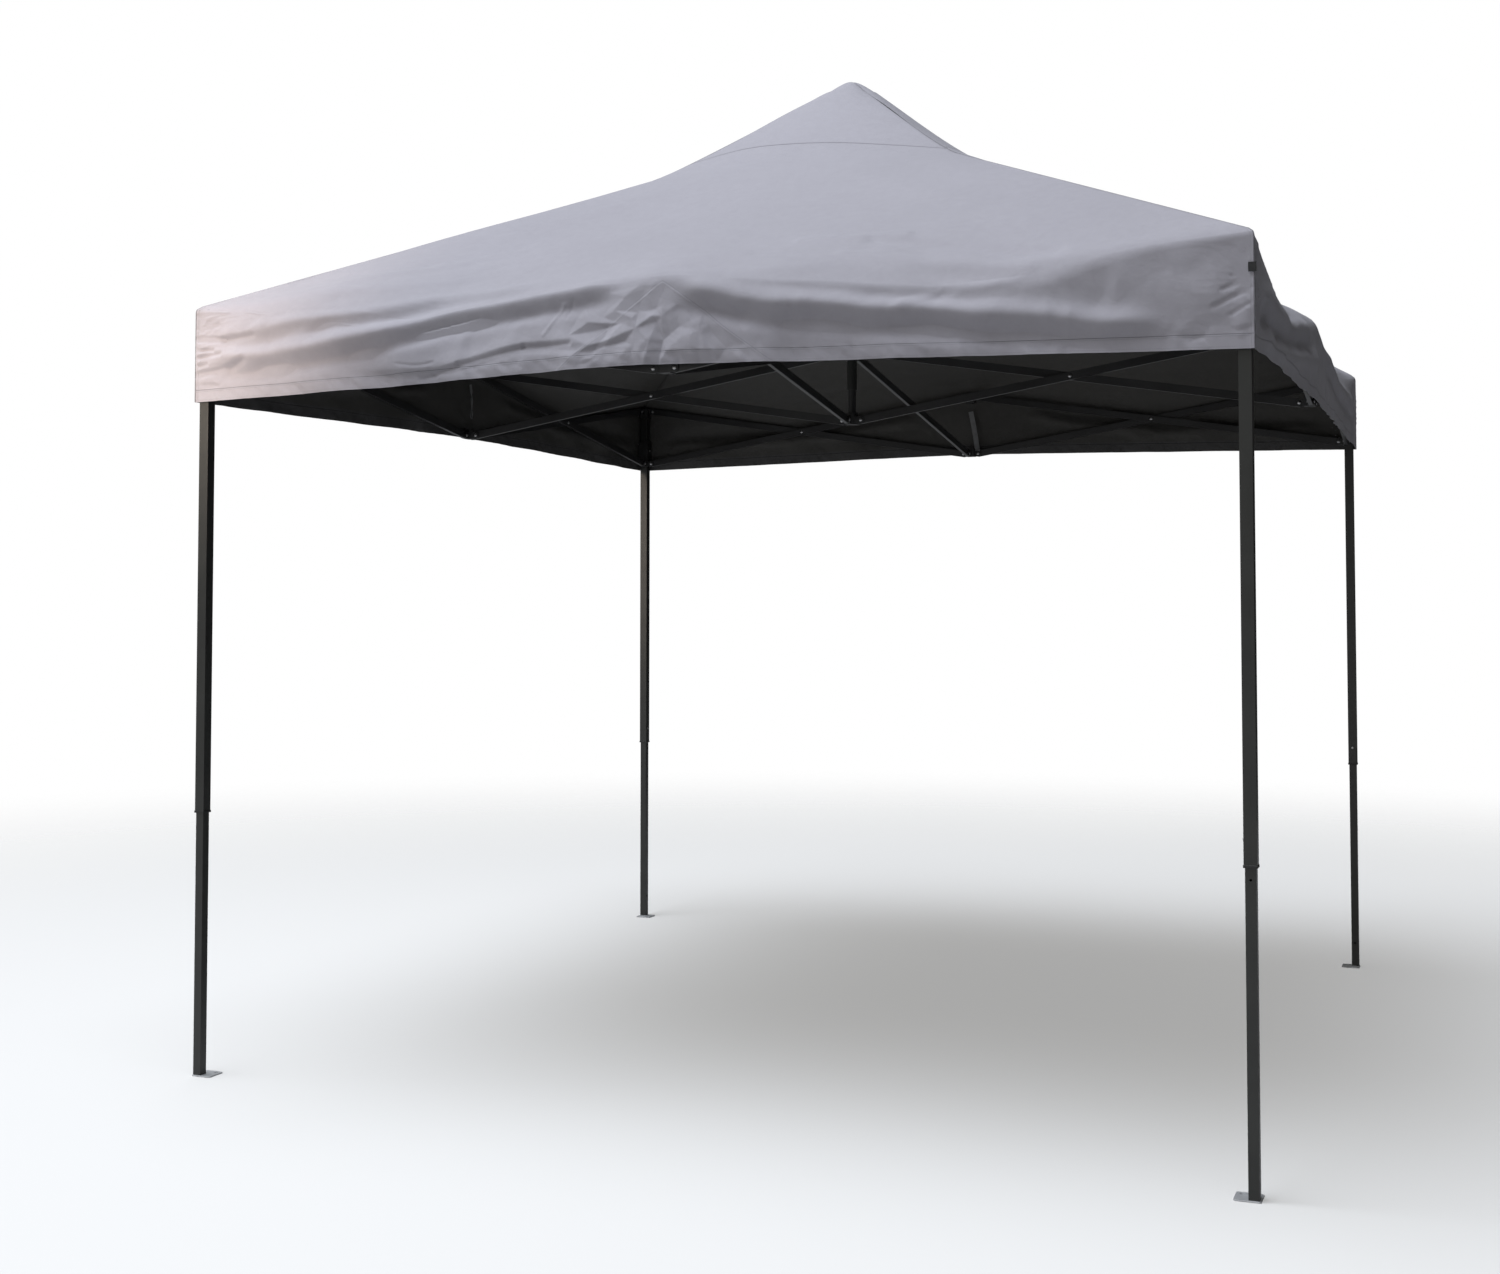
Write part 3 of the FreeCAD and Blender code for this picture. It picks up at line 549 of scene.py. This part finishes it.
class Finish:
    """A node material with one Principled shader."""

    def __init__(self, name, color, roughness, metallic=0.0):
        self.material = bpy.data.materials.new(name)
        self.material.use_nodes = True
        self.tree = self.material.node_tree
        self.shader = self.tree.nodes["Principled BSDF"]
        self.shader.inputs["Base Color"].default_value = (*color, 1)
        self.shader.inputs["Roughness"].default_value = roughness
        self.shader.inputs["Metallic"].default_value = metallic
        self.where = self.add("ShaderNodeTexCoord").outputs["Object"]

    def add(self, kind, links=None, values=None, **settings):
        return add_node(self.tree, kind, links, values, **settings)

    def noise(self, scale, detail=2.0, roughness=0.5, distortion=0.0):
        values = {"Scale": scale, "Detail": detail, "Roughness": roughness, "Distortion": distortion}
        return self.add("ShaderNodeTexNoise", {"Vector": self.where}, values).outputs["Fac"]

    def math(self, operation, a, b=None, c=None):
        node = self.add("ShaderNodeMath", operation=operation)
        for i, value in enumerate((a, b, c)):
            if value is None:
                continue
            if isinstance(value, (int, float)):
                node.inputs[i].default_value = value
            else:
                self.tree.links.new(value, node.inputs[i])
        return node.outputs[0]

    def band(self, value, low, high, to_low=0.0, to_high=1.0):
        """value from low to high becomes to_low to to_high, smoothly, and stays there outside."""
        values = {"From Min": low, "From Max": high, "To Min": to_low, "To Max": to_high}
        node = self.add("ShaderNodeMapRange", {"Value": value}, values, interpolation_type="SMOOTHSTEP")
        return node.outputs["Result"]

    def mix(self, factor, a, b):
        node = self.add("ShaderNodeMix", data_type="RGBA")
        for name, value in (("Factor", factor), ("A", a), ("B", b)):
            socket = [s for s in node.inputs if s.name == name and (name == "Factor" or s.type == "RGBA")][0]
            if isinstance(value, (tuple, list)):
                socket.default_value = (*value, 1)
            elif isinstance(value, (int, float)):
                socket.default_value = value
            else:
                self.tree.links.new(value, socket)
        return [s for s in node.outputs if s.type == "RGBA"][0]

    def color(self, source):
        self.tree.links.new(source, self.shader.inputs["Base Color"])

    def rough(self, source):
        self.tree.links.new(source, self.shader.inputs["Roughness"])

    def bump(self, height, distance, strength=1.0, normal=None):
        links = {"Height": height} | ({"Normal": normal} if normal else {})
        node = self.add("ShaderNodeBump", links, {"Distance": distance, "Strength": strength})
        self.tree.links.new(node.outputs[0], self.shader.inputs["Normal"])
        return node.outputs[0]

    def soft_edges(self, radius):
        return self.add("ShaderNodeBevel", values={"Radius": radius}, samples=4).outputs[0]

    def attribute(self, name):
        return self.add("ShaderNodeAttribute", attribute_name=name).outputs["Fac"]

    def axis(self, name):
        return self.add("ShaderNodeSeparateXYZ", {"Vector": self.where}).outputs[name]


def powder(name, color, roughness, scuffs):
    f = Finish(name, color, roughness)
    big = f.noise(6, 3)
    f.color(f.mix(f.band(big, 0.3, 0.7), tuple(0.82 * c for c in color), tuple(1.2 * c for c in color)))
    wear = f.math("MULTIPLY", f.band(f.noise(55, 5, 0.65), 0.62, 0.80), scuffs)
    f.rough(f.math("ADD", f.math("MULTIPLY_ADD", big, 0.14, roughness - 0.07), wear))
    f.shader.inputs["Specular IOR Level"].default_value = 0.5
    f.bump(f.noise(700, 2), 0.0006, 0.35, f.soft_edges(0.0016))
    return f


def plastic(name, color, roughness):
    f = Finish(name, color, roughness)
    f.color(f.mix(f.band(f.noise(30, 4), 0.35, 0.7), color, tuple(1.5 * c + 0.002 for c in color)))
    f.rough(f.math("MULTIPLY_ADD", f.noise(120, 3), 0.2, roughness - 0.1))
    f.bump(f.noise(1500, 3, 0.7), 0.0004, 0.5, f.soft_edges(0.0014))
    return f


def zinc(name, color, roughness):
    f = Finish(name, color, roughness, 1.0)
    cells = f.add("ShaderNodeTexVoronoi", {"Vector": f.where}, {"Scale": 320.0}).outputs["Distance"]
    shade = f.math("MULTIPLY_ADD", cells, 0.5, f.math("MULTIPLY", f.noise(25, 5, 0.6), 0.7))
    f.color(f.mix(f.band(shade, 0.25, 0.75), tuple(0.72 * c for c in color), color))
    f.rough(f.math("MULTIPLY_ADD", f.noise(60, 4), 0.25, roughness - 0.12))
    f.bump(f.noise(400, 4), 0.0004, 0.4, f.soft_edges(0.0010))
    return f


BLACK = (0.0125, 0.0125, 0.013)
bar_finish = powder("bar_paint", (0.016, 0.016, 0.017), 0.38, 0.12)
plastic_finish = plastic("black_plastic", BLACK, 0.52)
zinc_finish = zinc("zinc_steel", (0.60, 0.60, 0.61), 0.36)
rivet_finish = zinc("rivet_steel", (0.42, 0.42, 0.43), 0.34)


def two_finishes(name, inside, outside, low, high, rough_in, rough_out):
    """One finish between two heights and another outside them."""
    f = Finish(name, inside, rough_in)
    z = f.axis("Z")
    within = f.math("MULTIPLY", f.math("GREATER_THAN", z, low), f.math("LESS_THAN", z, high))
    vary = f.band(f.noise(9, 4), 0.3, 0.7)
    lit = f.mix(vary, tuple(0.82 * c for c in inside), tuple(1.2 * c for c in inside))
    dull = f.mix(vary, tuple(0.8 * c for c in outside), tuple(1.25 * c for c in outside))
    f.color(f.mix(within, dull, lit))
    grain = f.math("MULTIPLY", f.noise(90, 4), 0.12)
    base = f.math("MULTIPLY_ADD", within, rough_in - rough_out, rough_out - 0.06)
    f.rough(f.math("ADD", base, grain))
    f.bump(f.noise(750, 3), 0.0006, 0.35, f.soft_edges(0.0016))
    return f


LEG_COLOR = (0.0165, 0.0174, 0.0165)
leg_tube_finish = two_finishes("leg_tube", LEG_COLOR, BLACK, 0.745, 2.130, 0.36, 0.52)
PLATE_TOP = 0.0032
foot_finish = two_finishes("foot_steel", LEG_COLOR, (0.58, 0.59, 0.61), PLATE_TOP, 3.0, 0.36, 0.45)
plate = foot_finish.math("MULTIPLY", foot_finish.math("LESS_THAN", foot_finish.axis("Z"), PLATE_TOP), 0.35)
foot_finish.tree.links.new(plate, foot_finish.shader.inputs["Metallic"])
hub_finish = two_finishes("hub_and_tube", BLACK, (0.018, 0.018, 0.019), 0.0, 1.960, 0.50, 0.36)
mast_top = float(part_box("mast_upper_tube")[1][2])
mast_finish = two_finishes("mast_tube", LEG_COLOR, BLACK, 0.0, mast_top - 0.022, 0.38, 0.5)


def stitched(f, distance, at, along):
    """Thread dashes where distance is at that value: 1 on the thread."""
    near = f.band(f.math("ABSOLUTE", f.math("SUBTRACT", distance, at)), 0.0006, 0.0014, 1.0, 0.0)
    dash = f.math("GREATER_THAN", f.math("SINE", f.math("MULTIPLY", along, 1250.0)), -0.45)
    return f.math("MULTIPLY", near, dash)


def fabric(name, color, shade, inside=False):
    """Coated polyester with a plain weave, seams and hem."""
    f = Finish(name, color, 0.78)
    uv = f.add("ShaderNodeUVMap", uv_map="cloth").outputs[0]
    split = f.add("ShaderNodeSeparateXYZ", {"Vector": uv})
    along, down = split.outputs["X"], split.outputs["Y"]
    warp, weft = (f.math("SINE", f.math("MULTIPLY", way, 5200.0)) for way in (along, down))
    threads = f.math("MULTIPLY", warp, weft)
    crinkle = f.noise(42, 5, 0.55, distortion=0.6)
    fine = f.noise(160, 4, 0.6)
    dirt = f.noise(1.6, 4, 0.6)
    hem, hip, cap, patch = (f.attribute(k) for k in ("hem", "hip", "cap", "patch"))
    line = 0.0012
    hem_step = f.band(hem, 0.0325, 0.0350)
    hem_line = f.band(f.math("ABSOLUTE", f.math("SUBTRACT", hem, 0.0338)), 0.0, line, 1.0, 0.0)
    hip_line = f.band(hip, line, 2.2 * line, 1.0, 0.0)
    cap_line = f.band(f.math("ABSOLUTE", cap), line, 2.0 * line, 1.0, 0.0)
    patch_line = f.band(f.math("ABSOLUTE", patch), 0.5 * line, 1.3 * line, 0.35, 0.0)
    lines = f.math("MAXIMUM", f.math("MAXIMUM", hem_line, hip_line), f.math("MAXIMUM", cap_line, patch_line))
    slant = f.math("ADD", along, down)
    thread = stitched(f, hem, 0.030, along)
    rows = (hem, 0.006, along), (hip, 0.007, slant), (patch, 0.006, slant), (cap, -0.006, along)
    for seam, at, way in rows:
        thread = f.math("MAXIMUM", thread, stitched(f, seam, at, way))
    tone = f.math("MULTIPLY_ADD", dirt, 0.10, f.math("MULTIPLY", crinkle, 0.10))
    base = f.mix(f.band(tone, 0.04, 0.16), tuple(0.93 * c for c in color), tuple(1.05 * c for c in color))
    if inside:
        band = f.band(hem, 0.040, 0.0415, 1.0, 0.0)
        base = f.mix(band, base, shade)
        base = f.mix(f.math("MULTIPLY", lines, 0.5), base, (0.01, 0.01, 0.01))
    else:
        base = f.mix(f.math("MULTIPLY", lines, 0.62), base, tuple(0.25 * c for c in color))
        base = f.mix(f.math("MULTIPLY", thread, 0.5), base, shade)
    f.color(base)
    f.rough(f.math("MULTIPLY_ADD", fine, 0.12, 0.72))
    f.shader.inputs["Specular IOR Level"].default_value = 0.35
    f.shader.inputs["Sheen Weight"].default_value = 0.0 if inside else 0.12
    f.shader.inputs["Sheen Roughness"].default_value = 0.5
    height = f.math("MULTIPLY_ADD", threads, 0.05, f.math("MULTIPLY", crinkle, 0.55))
    height = f.math("ADD", height, f.math("MULTIPLY", fine, 0.18))
    first = f.bump(height, 0.0040, 0.55)
    steps = f.math("MULTIPLY_ADD", hem_step, -0.5, f.math("MULTIPLY", lines, -1.0))
    steps = f.math("ADD", steps, f.math("MULTIPLY", thread, 0.3))
    f.bump(steps, 0.0012, 0.9, first)
    return f


cover_finish = fabric("cover_fabric", (0.300, 0.291, 0.328), (0.23, 0.225, 0.25))
lining_finish = fabric("cover_lining", (0.056, 0.054, 0.051), (0.060, 0.059, 0.060), inside=True)


def tape(name, color, dark, light, roughness, mottle, rib_scale):
    """Woven tape with ribs."""
    f = Finish(name, color, roughness)
    ribs = f.add("ShaderNodeTexWave", {"Vector": f.where}, {"Scale": rib_scale}).outputs["Fac"]
    f.color(f.mix(f.noise(mottle, 4), dark, light))
    f.bump(ribs, 0.0006, 0.8)
    return f


webbing_finish = tape(
    "webbing", (0.018, 0.018, 0.02), (0.012, 0.012, 0.013), (0.03, 0.03, 0.032), 0.8, 80, 160.0
)
grey_tape_finish = tape(
    "grey_tape", (0.16, 0.16, 0.165), (0.12, 0.12, 0.125), (0.20, 0.20, 0.205), 0.75, 70, 130.0
)


def finish_of(name):
    if name.startswith("upper_leg"):
        return leg_tube_finish
    if name.startswith("lower_leg"):
        return foot_finish
    if name.startswith("mast"):
        return mast_finish
    if name == "lower_hub":
        return hub_finish
    slot = {s["node"]: s["material_slot"] for s in frame["record"]["subparts"]}[name]
    table = {"black_plastic": plastic_finish, "zinc_steel": zinc_finish, "bar_paint": bar_finish}
    return table.get(slot, cover_finish)


for name, node in frame["nodes"].items():
    node.data.materials.clear()
    node.data.materials.append(finish_of(name).material)

# ---------------------------------------------------------------- cover

# Columns, rows of the roof and rows of the valance.
COUNTS = {"front": (600, 76, 78), "right": (300, 72, 34), "back": (260, 64, 30), "left": (260, 64, 30)}
cloth_materials = [cover_finish.material, lining_finish.material]
for quarter, side in enumerate(SIDES):
    grid = cover_side(side, *COUNTS[side])
    split = grid["split"]
    roof = cloth_piece(f"roof_{side}", grid, slice(0, split + 1), quarter, cloth_materials)
    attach(roof, f"roof_panel_{side}")
    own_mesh(roof)
    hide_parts(f"roof_panel_{side}")
    hang = cloth_piece(f"valance_{side}", grid, slice(split, None), quarter, cloth_materials)
    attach(hang, f"upper_bracket_{side}")
    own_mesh(hang)
    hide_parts("valance")


def peak_patch():
    """The top of the roof over the mast: four sectors that share the apex."""
    columns, rows = 24, 12
    outer, normals = [], []
    step = 1e-4
    u = np.linspace(-1, 1, columns + 1)[:-1][None, :]
    reach = np.linspace(0, PEAK_PATCH, rows + 1)[1:, None]
    for quarter in range(4):
        def at(uu, rr, quarter=quarter):
            return turned(np.stack([uu * rr, rr + 0 * uu, roof_rise(rr, uu)], -1), quarter)
        p = at(u + 0 * reach, reach + 0 * u)
        across = at(u + step + 0 * reach, reach + 0 * u) - at(u - step + 0 * reach, reach + 0 * u)
        outwards = at(u + 0 * reach, reach + step + 0 * u) - at(u + 0 * reach, reach - step + 0 * u)
        n = np.cross(outwards, across)
        n /= np.linalg.norm(n, axis=-1, keepdims=True)
        n *= np.where(n[..., 2:] < 0, -1, 1)
        outer.append(p)
        normals.append(n)
    outer = np.concatenate(outer, 1)
    normals = np.concatenate(normals, 1)
    total = outer.shape[1]
    apex = np.array([[0, 0, float(roof_rise(np.array(0.0), np.array(0.0)))]])
    up = np.array([[0, 0, 1.0]])
    points = np.concatenate([apex, outer.reshape(-1, 3)])
    n = np.concatenate([up, normals.reshape(-1, 3)])
    vertices = np.concatenate([points, points - n * CLOTH])
    count = len(points)
    ids = 1 + np.arange(rows * total).reshape(rows, total)
    faces, kinds = [], []
    for j in range(total):
        nxt = (j + 1) % total
        faces.append((0, ids[0, j], ids[0, nxt]))
        faces.append((count, count + ids[0, nxt], count + ids[0, j]))
        kinds += [0, 1]
        for i in range(rows - 1):
            quad = (ids[i, j], ids[i + 1, j], ids[i + 1, nxt], ids[i, nxt])
            faces += [quad, tuple(count + q for q in quad[::-1])]
            kinds += [0, 1]
        faces.append((ids[-1, j], count + ids[-1, j], count + ids[-1, nxt], ids[-1, nxt]))
        kinds.append(0)
    obj = new_object("roof_peak", vertices, faces, cloth_materials, kinds)
    far = np.full(count, -1.0)
    diagonal = np.abs(np.abs(points[:, 0]) - np.abs(points[:, 1])) * HIP_SQUARE
    dress(obj, points[:, :2], {"hem": -far, "hip": diagonal, "cap": far, "patch": far}, n)
    return obj


peak = peak_patch()
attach(peak, "mast_upper_tube")

# ---------------------------------------------------------------- rivets

def rivet_heads(name, places, grip, body):
    """Steel rivet heads at both ends of each pin: places are (centre, axis letter)."""
    radius, rise, sink, rings, spokes = 0.0058, 0.0026, 0.0006, 5, 20
    vertices, faces = [], []
    for centre, axis in places:
        for sign in (-1, 1):
            first = len(vertices)
            direction = Vector((sign, 0, 0) if axis == "X" else (0, sign, 0))
            turn = direction.to_track_quat("Z", "Y").to_matrix()
            base = Vector(centre) + direction * (grip / 2)
            profile = [(radius, -sink), (radius, 0.0)]
            for i in range(1, rings + 1):
                t = i / rings * math.pi / 2
                profile.append((radius * math.cos(t), rise * math.sin(t)))
            for r, h in profile[:-1]:
                for s in range(spokes):
                    angle = 2 * math.pi * s / spokes
                    local = Vector((r * math.cos(angle), r * math.sin(angle), h))
                    vertices.append(base + turn @ local)
            top = len(vertices)
            vertices.append(base + turn @ Vector((0, 0, rise)))
            bottom = len(vertices)
            vertices.append(base + turn @ Vector((0, 0, -sink)))
            rows = len(profile) - 1
            for i in range(rows - 1):
                for s in range(spokes):
                    t = (s + 1) % spokes
                    a, b = first + i * spokes, first + (i + 1) * spokes
                    faces.append((a + s, a + t, b + t, b + s))
            last = first + (rows - 1) * spokes
            for s in range(spokes):
                t = (s + 1) % spokes
                faces.append((last + s, last + t, top))
                faces.append((first + t, first + s, bottom))
    obj = new_object(name, vertices, faces, [rivet_finish.material])
    obj.data.polygons.foreach_set("use_smooth", np.ones(len(faces), bool))
    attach(obj, body)


def pin_end(quarter, x, out, z, axis):
    """Centre and axis of a front-side pin, turned to a side."""
    p = turned(np.array([x, out, z]), quarter)
    return tuple(float(v) for v in p), (axis if quarter % 2 == 0 else {"X": "Y", "Y": "X"}[axis])


UP, LOW = joints["frame_fold"]["pos_m"][2], joints["lower_hub_pivot"]["pos_m"][2]
MIDDLE = (UP + LOW) / 2
GRIP, CROSSING_GRIP = 0.0198, 0.0260
INNER, TRUSS, OUTER = 1.4435, 1.450, 1.4565  # the side trusses' layers of bars and their middle
STEP = 0.0065  # from a bar's middle to the crossing's
ARM_PIN, HUB_PIN = 1.420, 0.035
SIDE_CROSSING, ARM_CROSSING = 0.7225, 0.7275


def corner_pins(row, z):
    return [(-LEG_PIN, row, z, "Y"), (-row, LEG_PIN, z, "X")]


def bracket_pins(row, z, aside):
    return [(-MID_PIN, row, z, "Y"), (MID_PIN, row, z, "Y"), (aside, ARM_PIN, z, "X")]


for quarter, side in enumerate(SIDES):
    corner = CORNERS[quarter]
    pins = [
        (f"leg_{corner}", corner_pins(OUTER, UP), GRIP, f"upper_leg_{corner}"),
        (f"slider_{corner}", corner_pins(INNER, LOW), GRIP, f"slider_{corner}"),
        (f"upper_bracket_{side}", bracket_pins(INNER, UP, -STEP), GRIP, f"upper_bracket_{side}"),
        (f"lower_bracket_{side}", bracket_pins(OUTER, LOW, STEP), GRIP, f"lower_bracket_{side}"),
    ]
    for hand, sign in (("left", -1), ("right", 1)):
        place = (sign * SIDE_CROSSING, TRUSS, MIDDLE, "Y")
        pins.append((f"crossing_{side}_{hand}", [place], CROSSING_GRIP, f"{side}_{hand}_rise_bar"))
    place = (0.0, ARM_CROSSING, MIDDLE, "X")
    pins.append((f"arm_{side}", [place], CROSSING_GRIP, f"{side}_arm_high_bar"))
    for name, places, grip, body in pins:
        rivet_heads(f"rivets_{name}", [pin_end(quarter, *place) for place in places], grip, body)
rivet_heads("rivets_upper_hub", [pin_end(q, STEP, HUB_PIN, UP, "X") for q in range(4)], GRIP, "upper_hub")
rivet_heads("rivets_lower_hub", [pin_end(q, -STEP, HUB_PIN, LOW, "X") for q in range(4)], GRIP, "lower_hub")

# ---------------------------------------------------------------- straps

def ribbon(name, path, widths, directions, material, thickness=0.0016):
    """A flat strap along a path; directions say which way its width lies."""
    path = [Vector(p) for p in path]
    vertices, faces = [], []
    for i, p in enumerate(path):
        ahead = (path[min(i + 1, len(path) - 1)] - path[max(i - 1, 0)]).normalized()
        wide = Vector(directions[i])
        wide = (wide - ahead * wide.dot(ahead)).normalized()
        flat = ahead.cross(wide).normalized()
        half = widths[i] / 2
        for s, t in ((-1, -1), (1, -1), (1, 1), (-1, 1)):
            vertices.append(p + wide * (s * half) + flat * (t * thickness / 2))
    for i in range(len(path) - 1):
        for k in range(4):
            a, b = 4 * i + k, 4 * i + (k + 1) % 4
            faces.append((a, b, b + 4, a + 4))
    faces += [(3, 2, 1, 0), tuple(4 * (len(path) - 1) + k for k in range(4))]
    return new_object(name, vertices, faces, [material])


def strap_down(name, top, bottom, body, width, material, wide, swing=0.0, turns=0.0, tip=None):
    """A hanging strap: it bows sideways by swing, twists by turns and narrows to tip."""
    top, bottom = Vector(top), Vector(bottom)
    count = 28
    path, widths, directions = [], [], []
    for i in range(count + 1):
        t = i / count
        side = Vector(wide)
        p = top.lerp(bottom, t) + side * (swing * math.sin(math.pi * t))
        path.append(p)
        turn = Matrix.Rotation(turns * 2 * math.pi * smooth(np.array((t - 0.25) / 0.6)).item(), 3, "Z")
        directions.append(turn @ side)
        widths.append(width if tip is None or t < 0.35 else width + (tip - width) * min(1, (t - 0.35) / 0.15))
    obj = ribbon(name, path, widths, directions, material)
    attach(obj, body)
    return obj


left_strap = strap_down(
    "strap_left", (-1.452, 0.0, 2.120), (-1.449, 0.006, 2.030), "upper_bracket_left", 0.016,
    grey_tape_finish.material, (0, 1, 0), 0.004, 0.5, 0.007,
)
loop_path, loop_wide = [], []
for i in range(33):
    t = 2 * math.pi * i / 32
    aside = 0.0085 * math.sin(t) * math.sin(t / 2) ** 1.2
    loop_path.append((-1.449, 0.006 + aside, 2.030 - 0.017 * (1 - math.cos(t))))
    loop_wide.append((1, 0, 0))
left_loop = ribbon("strap_left_loop", loop_path, [0.004] * 33, loop_wide, grey_tape_finish.material, 0.0014)
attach(left_loop, "upper_bracket_left")
back_strap = strap_down(
    "strap_back", (0.0, 1.452, 2.105), (0.028, 1.448, 1.942), "upper_bracket_back", 0.020,
    grey_tape_finish.material, (1, 0, 0), 0.002, 0.0,
)
tab_top = HALF + 0.0016
corner_tab = ribbon(
    "tab_front_right",
    [(1.470, -tab_top, 2.103), (1.470, -tab_top - 0.0004, 2.092), (1.470, -tab_top, 2.081)],
    [0.018, 0.019, 0.018], [(1, 0, 0)] * 3, webbing_finish.material,
)
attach(corner_tab, "upper_leg_front_right")

# ---------------------------------------------------------------- floor, light and camera

# the floor fades out away from the middle
floor = Finish("floor", (0.78, 0.78, 0.78), 0.9)
away = floor.add("ShaderNodeVectorMath", {0: floor.where}, operation="LENGTH").outputs["Value"]
clear = floor.add("ShaderNodeBsdfTransparent").outputs[0]
fade = {"Fac": floor.band(away, 3.2, 9.0, 0.32), 1: floor.shader.outputs[0], 2: clear}
blend = floor.add("ShaderNodeMixShader", fade).outputs[0]
floor.tree.links.new(blend, floor.tree.nodes["Material Output"].inputs["Surface"])
ground = new_object(
    "floor_plane", [(-60, -60, -0.0005), (60, -60, -0.0005), (60, 60, -0.0005), (-60, 60, -0.0005)],
    [(0, 1, 2, 3)], [floor.material],
)

# white where the camera sees it; light comes mostly from above the front left
world = bpy.data.worlds.new("studio")
bpy.context.scene.world = world
world.use_nodes = True
tree = world.node_tree
tree.nodes.clear()
seen = add_node(tree, "ShaderNodeBackground", values={"Color": (1, 1, 1, 1), "Strength": 1.0})
towards = add_node(tree, "ShaderNodeTexCoord").outputs["Generated"]
lobe = add_node(
    tree, "ShaderNodeVectorMath", {0: towards}, {1: (-0.62, -0.62, 0.48)}, operation="DOT_PRODUCT"
)
level = add_node(
    tree, "ShaderNodeMapRange", {"Value": lobe.outputs["Value"]},
    {"From Min": -0.18, "From Max": 1.0, "To Min": 0.025, "To Max": 0.62}, interpolation_type="SMOOTHSTEP",
)
ambient = add_node(
    tree, "ShaderNodeBackground", {"Strength": level.outputs["Result"]}, {"Color": (1.0, 0.985, 0.945, 1)}
)
path = add_node(tree, "ShaderNodeLightPath").outputs["Is Camera Ray"]
either = add_node(tree, "ShaderNodeMixShader", {"Fac": path, 1: ambient.outputs[0], 2: seen.outputs[0]})
add_node(tree, "ShaderNodeOutputWorld", {"Surface": either.outputs[0]})


def light(name, kind, place, target, **settings):
    data = bpy.data.lights.new(name, kind)
    for key, value in settings.items():
        setattr(data, key, value)
    lamp = bpy.data.objects.new(name, data)
    bpy.context.scene.collection.objects.link(lamp)
    lamp.location = place
    lamp.rotation_euler = (Vector(target) - Vector(place)).to_track_quat("-Z", "Y").to_euler()


light(
    "overhead", "AREA", (-2.5, -3.2, 12.0), (0, 0, 2.2),
    shape="SQUARE", size=9.0, energy=1710, color=(0.90, 0.95, 1.02),
)
light(
    "warm_corner", "SPOT", (-2.17, -5.92, 2.60), (-1.48, -1.46, 2.00),
    energy=1680, color=(1.0, 0.83, 0.68), spot_size=math.radians(13.5), spot_blend=1.0, shadow_soft_size=0.3,
)

camera_data = bpy.data.cameras.new("camera")
camera_data.lens = 44.35
camera_data.sensor_width = 36
camera_data.shift_y = -0.0713
camera = bpy.data.objects.new("camera", camera_data)
bpy.context.scene.collection.objects.link(camera)
bpy.context.scene.camera = camera
yaw, pitch = math.radians(22.36), math.radians(2.31)
forward = Vector((-math.sin(yaw) * math.cos(pitch), math.cos(yaw) * math.cos(pitch), math.sin(pitch)))
camera.location = (1.998, -5.742, 1.329)
camera.rotation_mode = "QUATERNION"
camera.rotation_quaternion = forward.to_track_quat("-Z", "Y")
bpy.context.scene.view_settings.view_transform = "Standard"

bpy.context.view_layer.update()
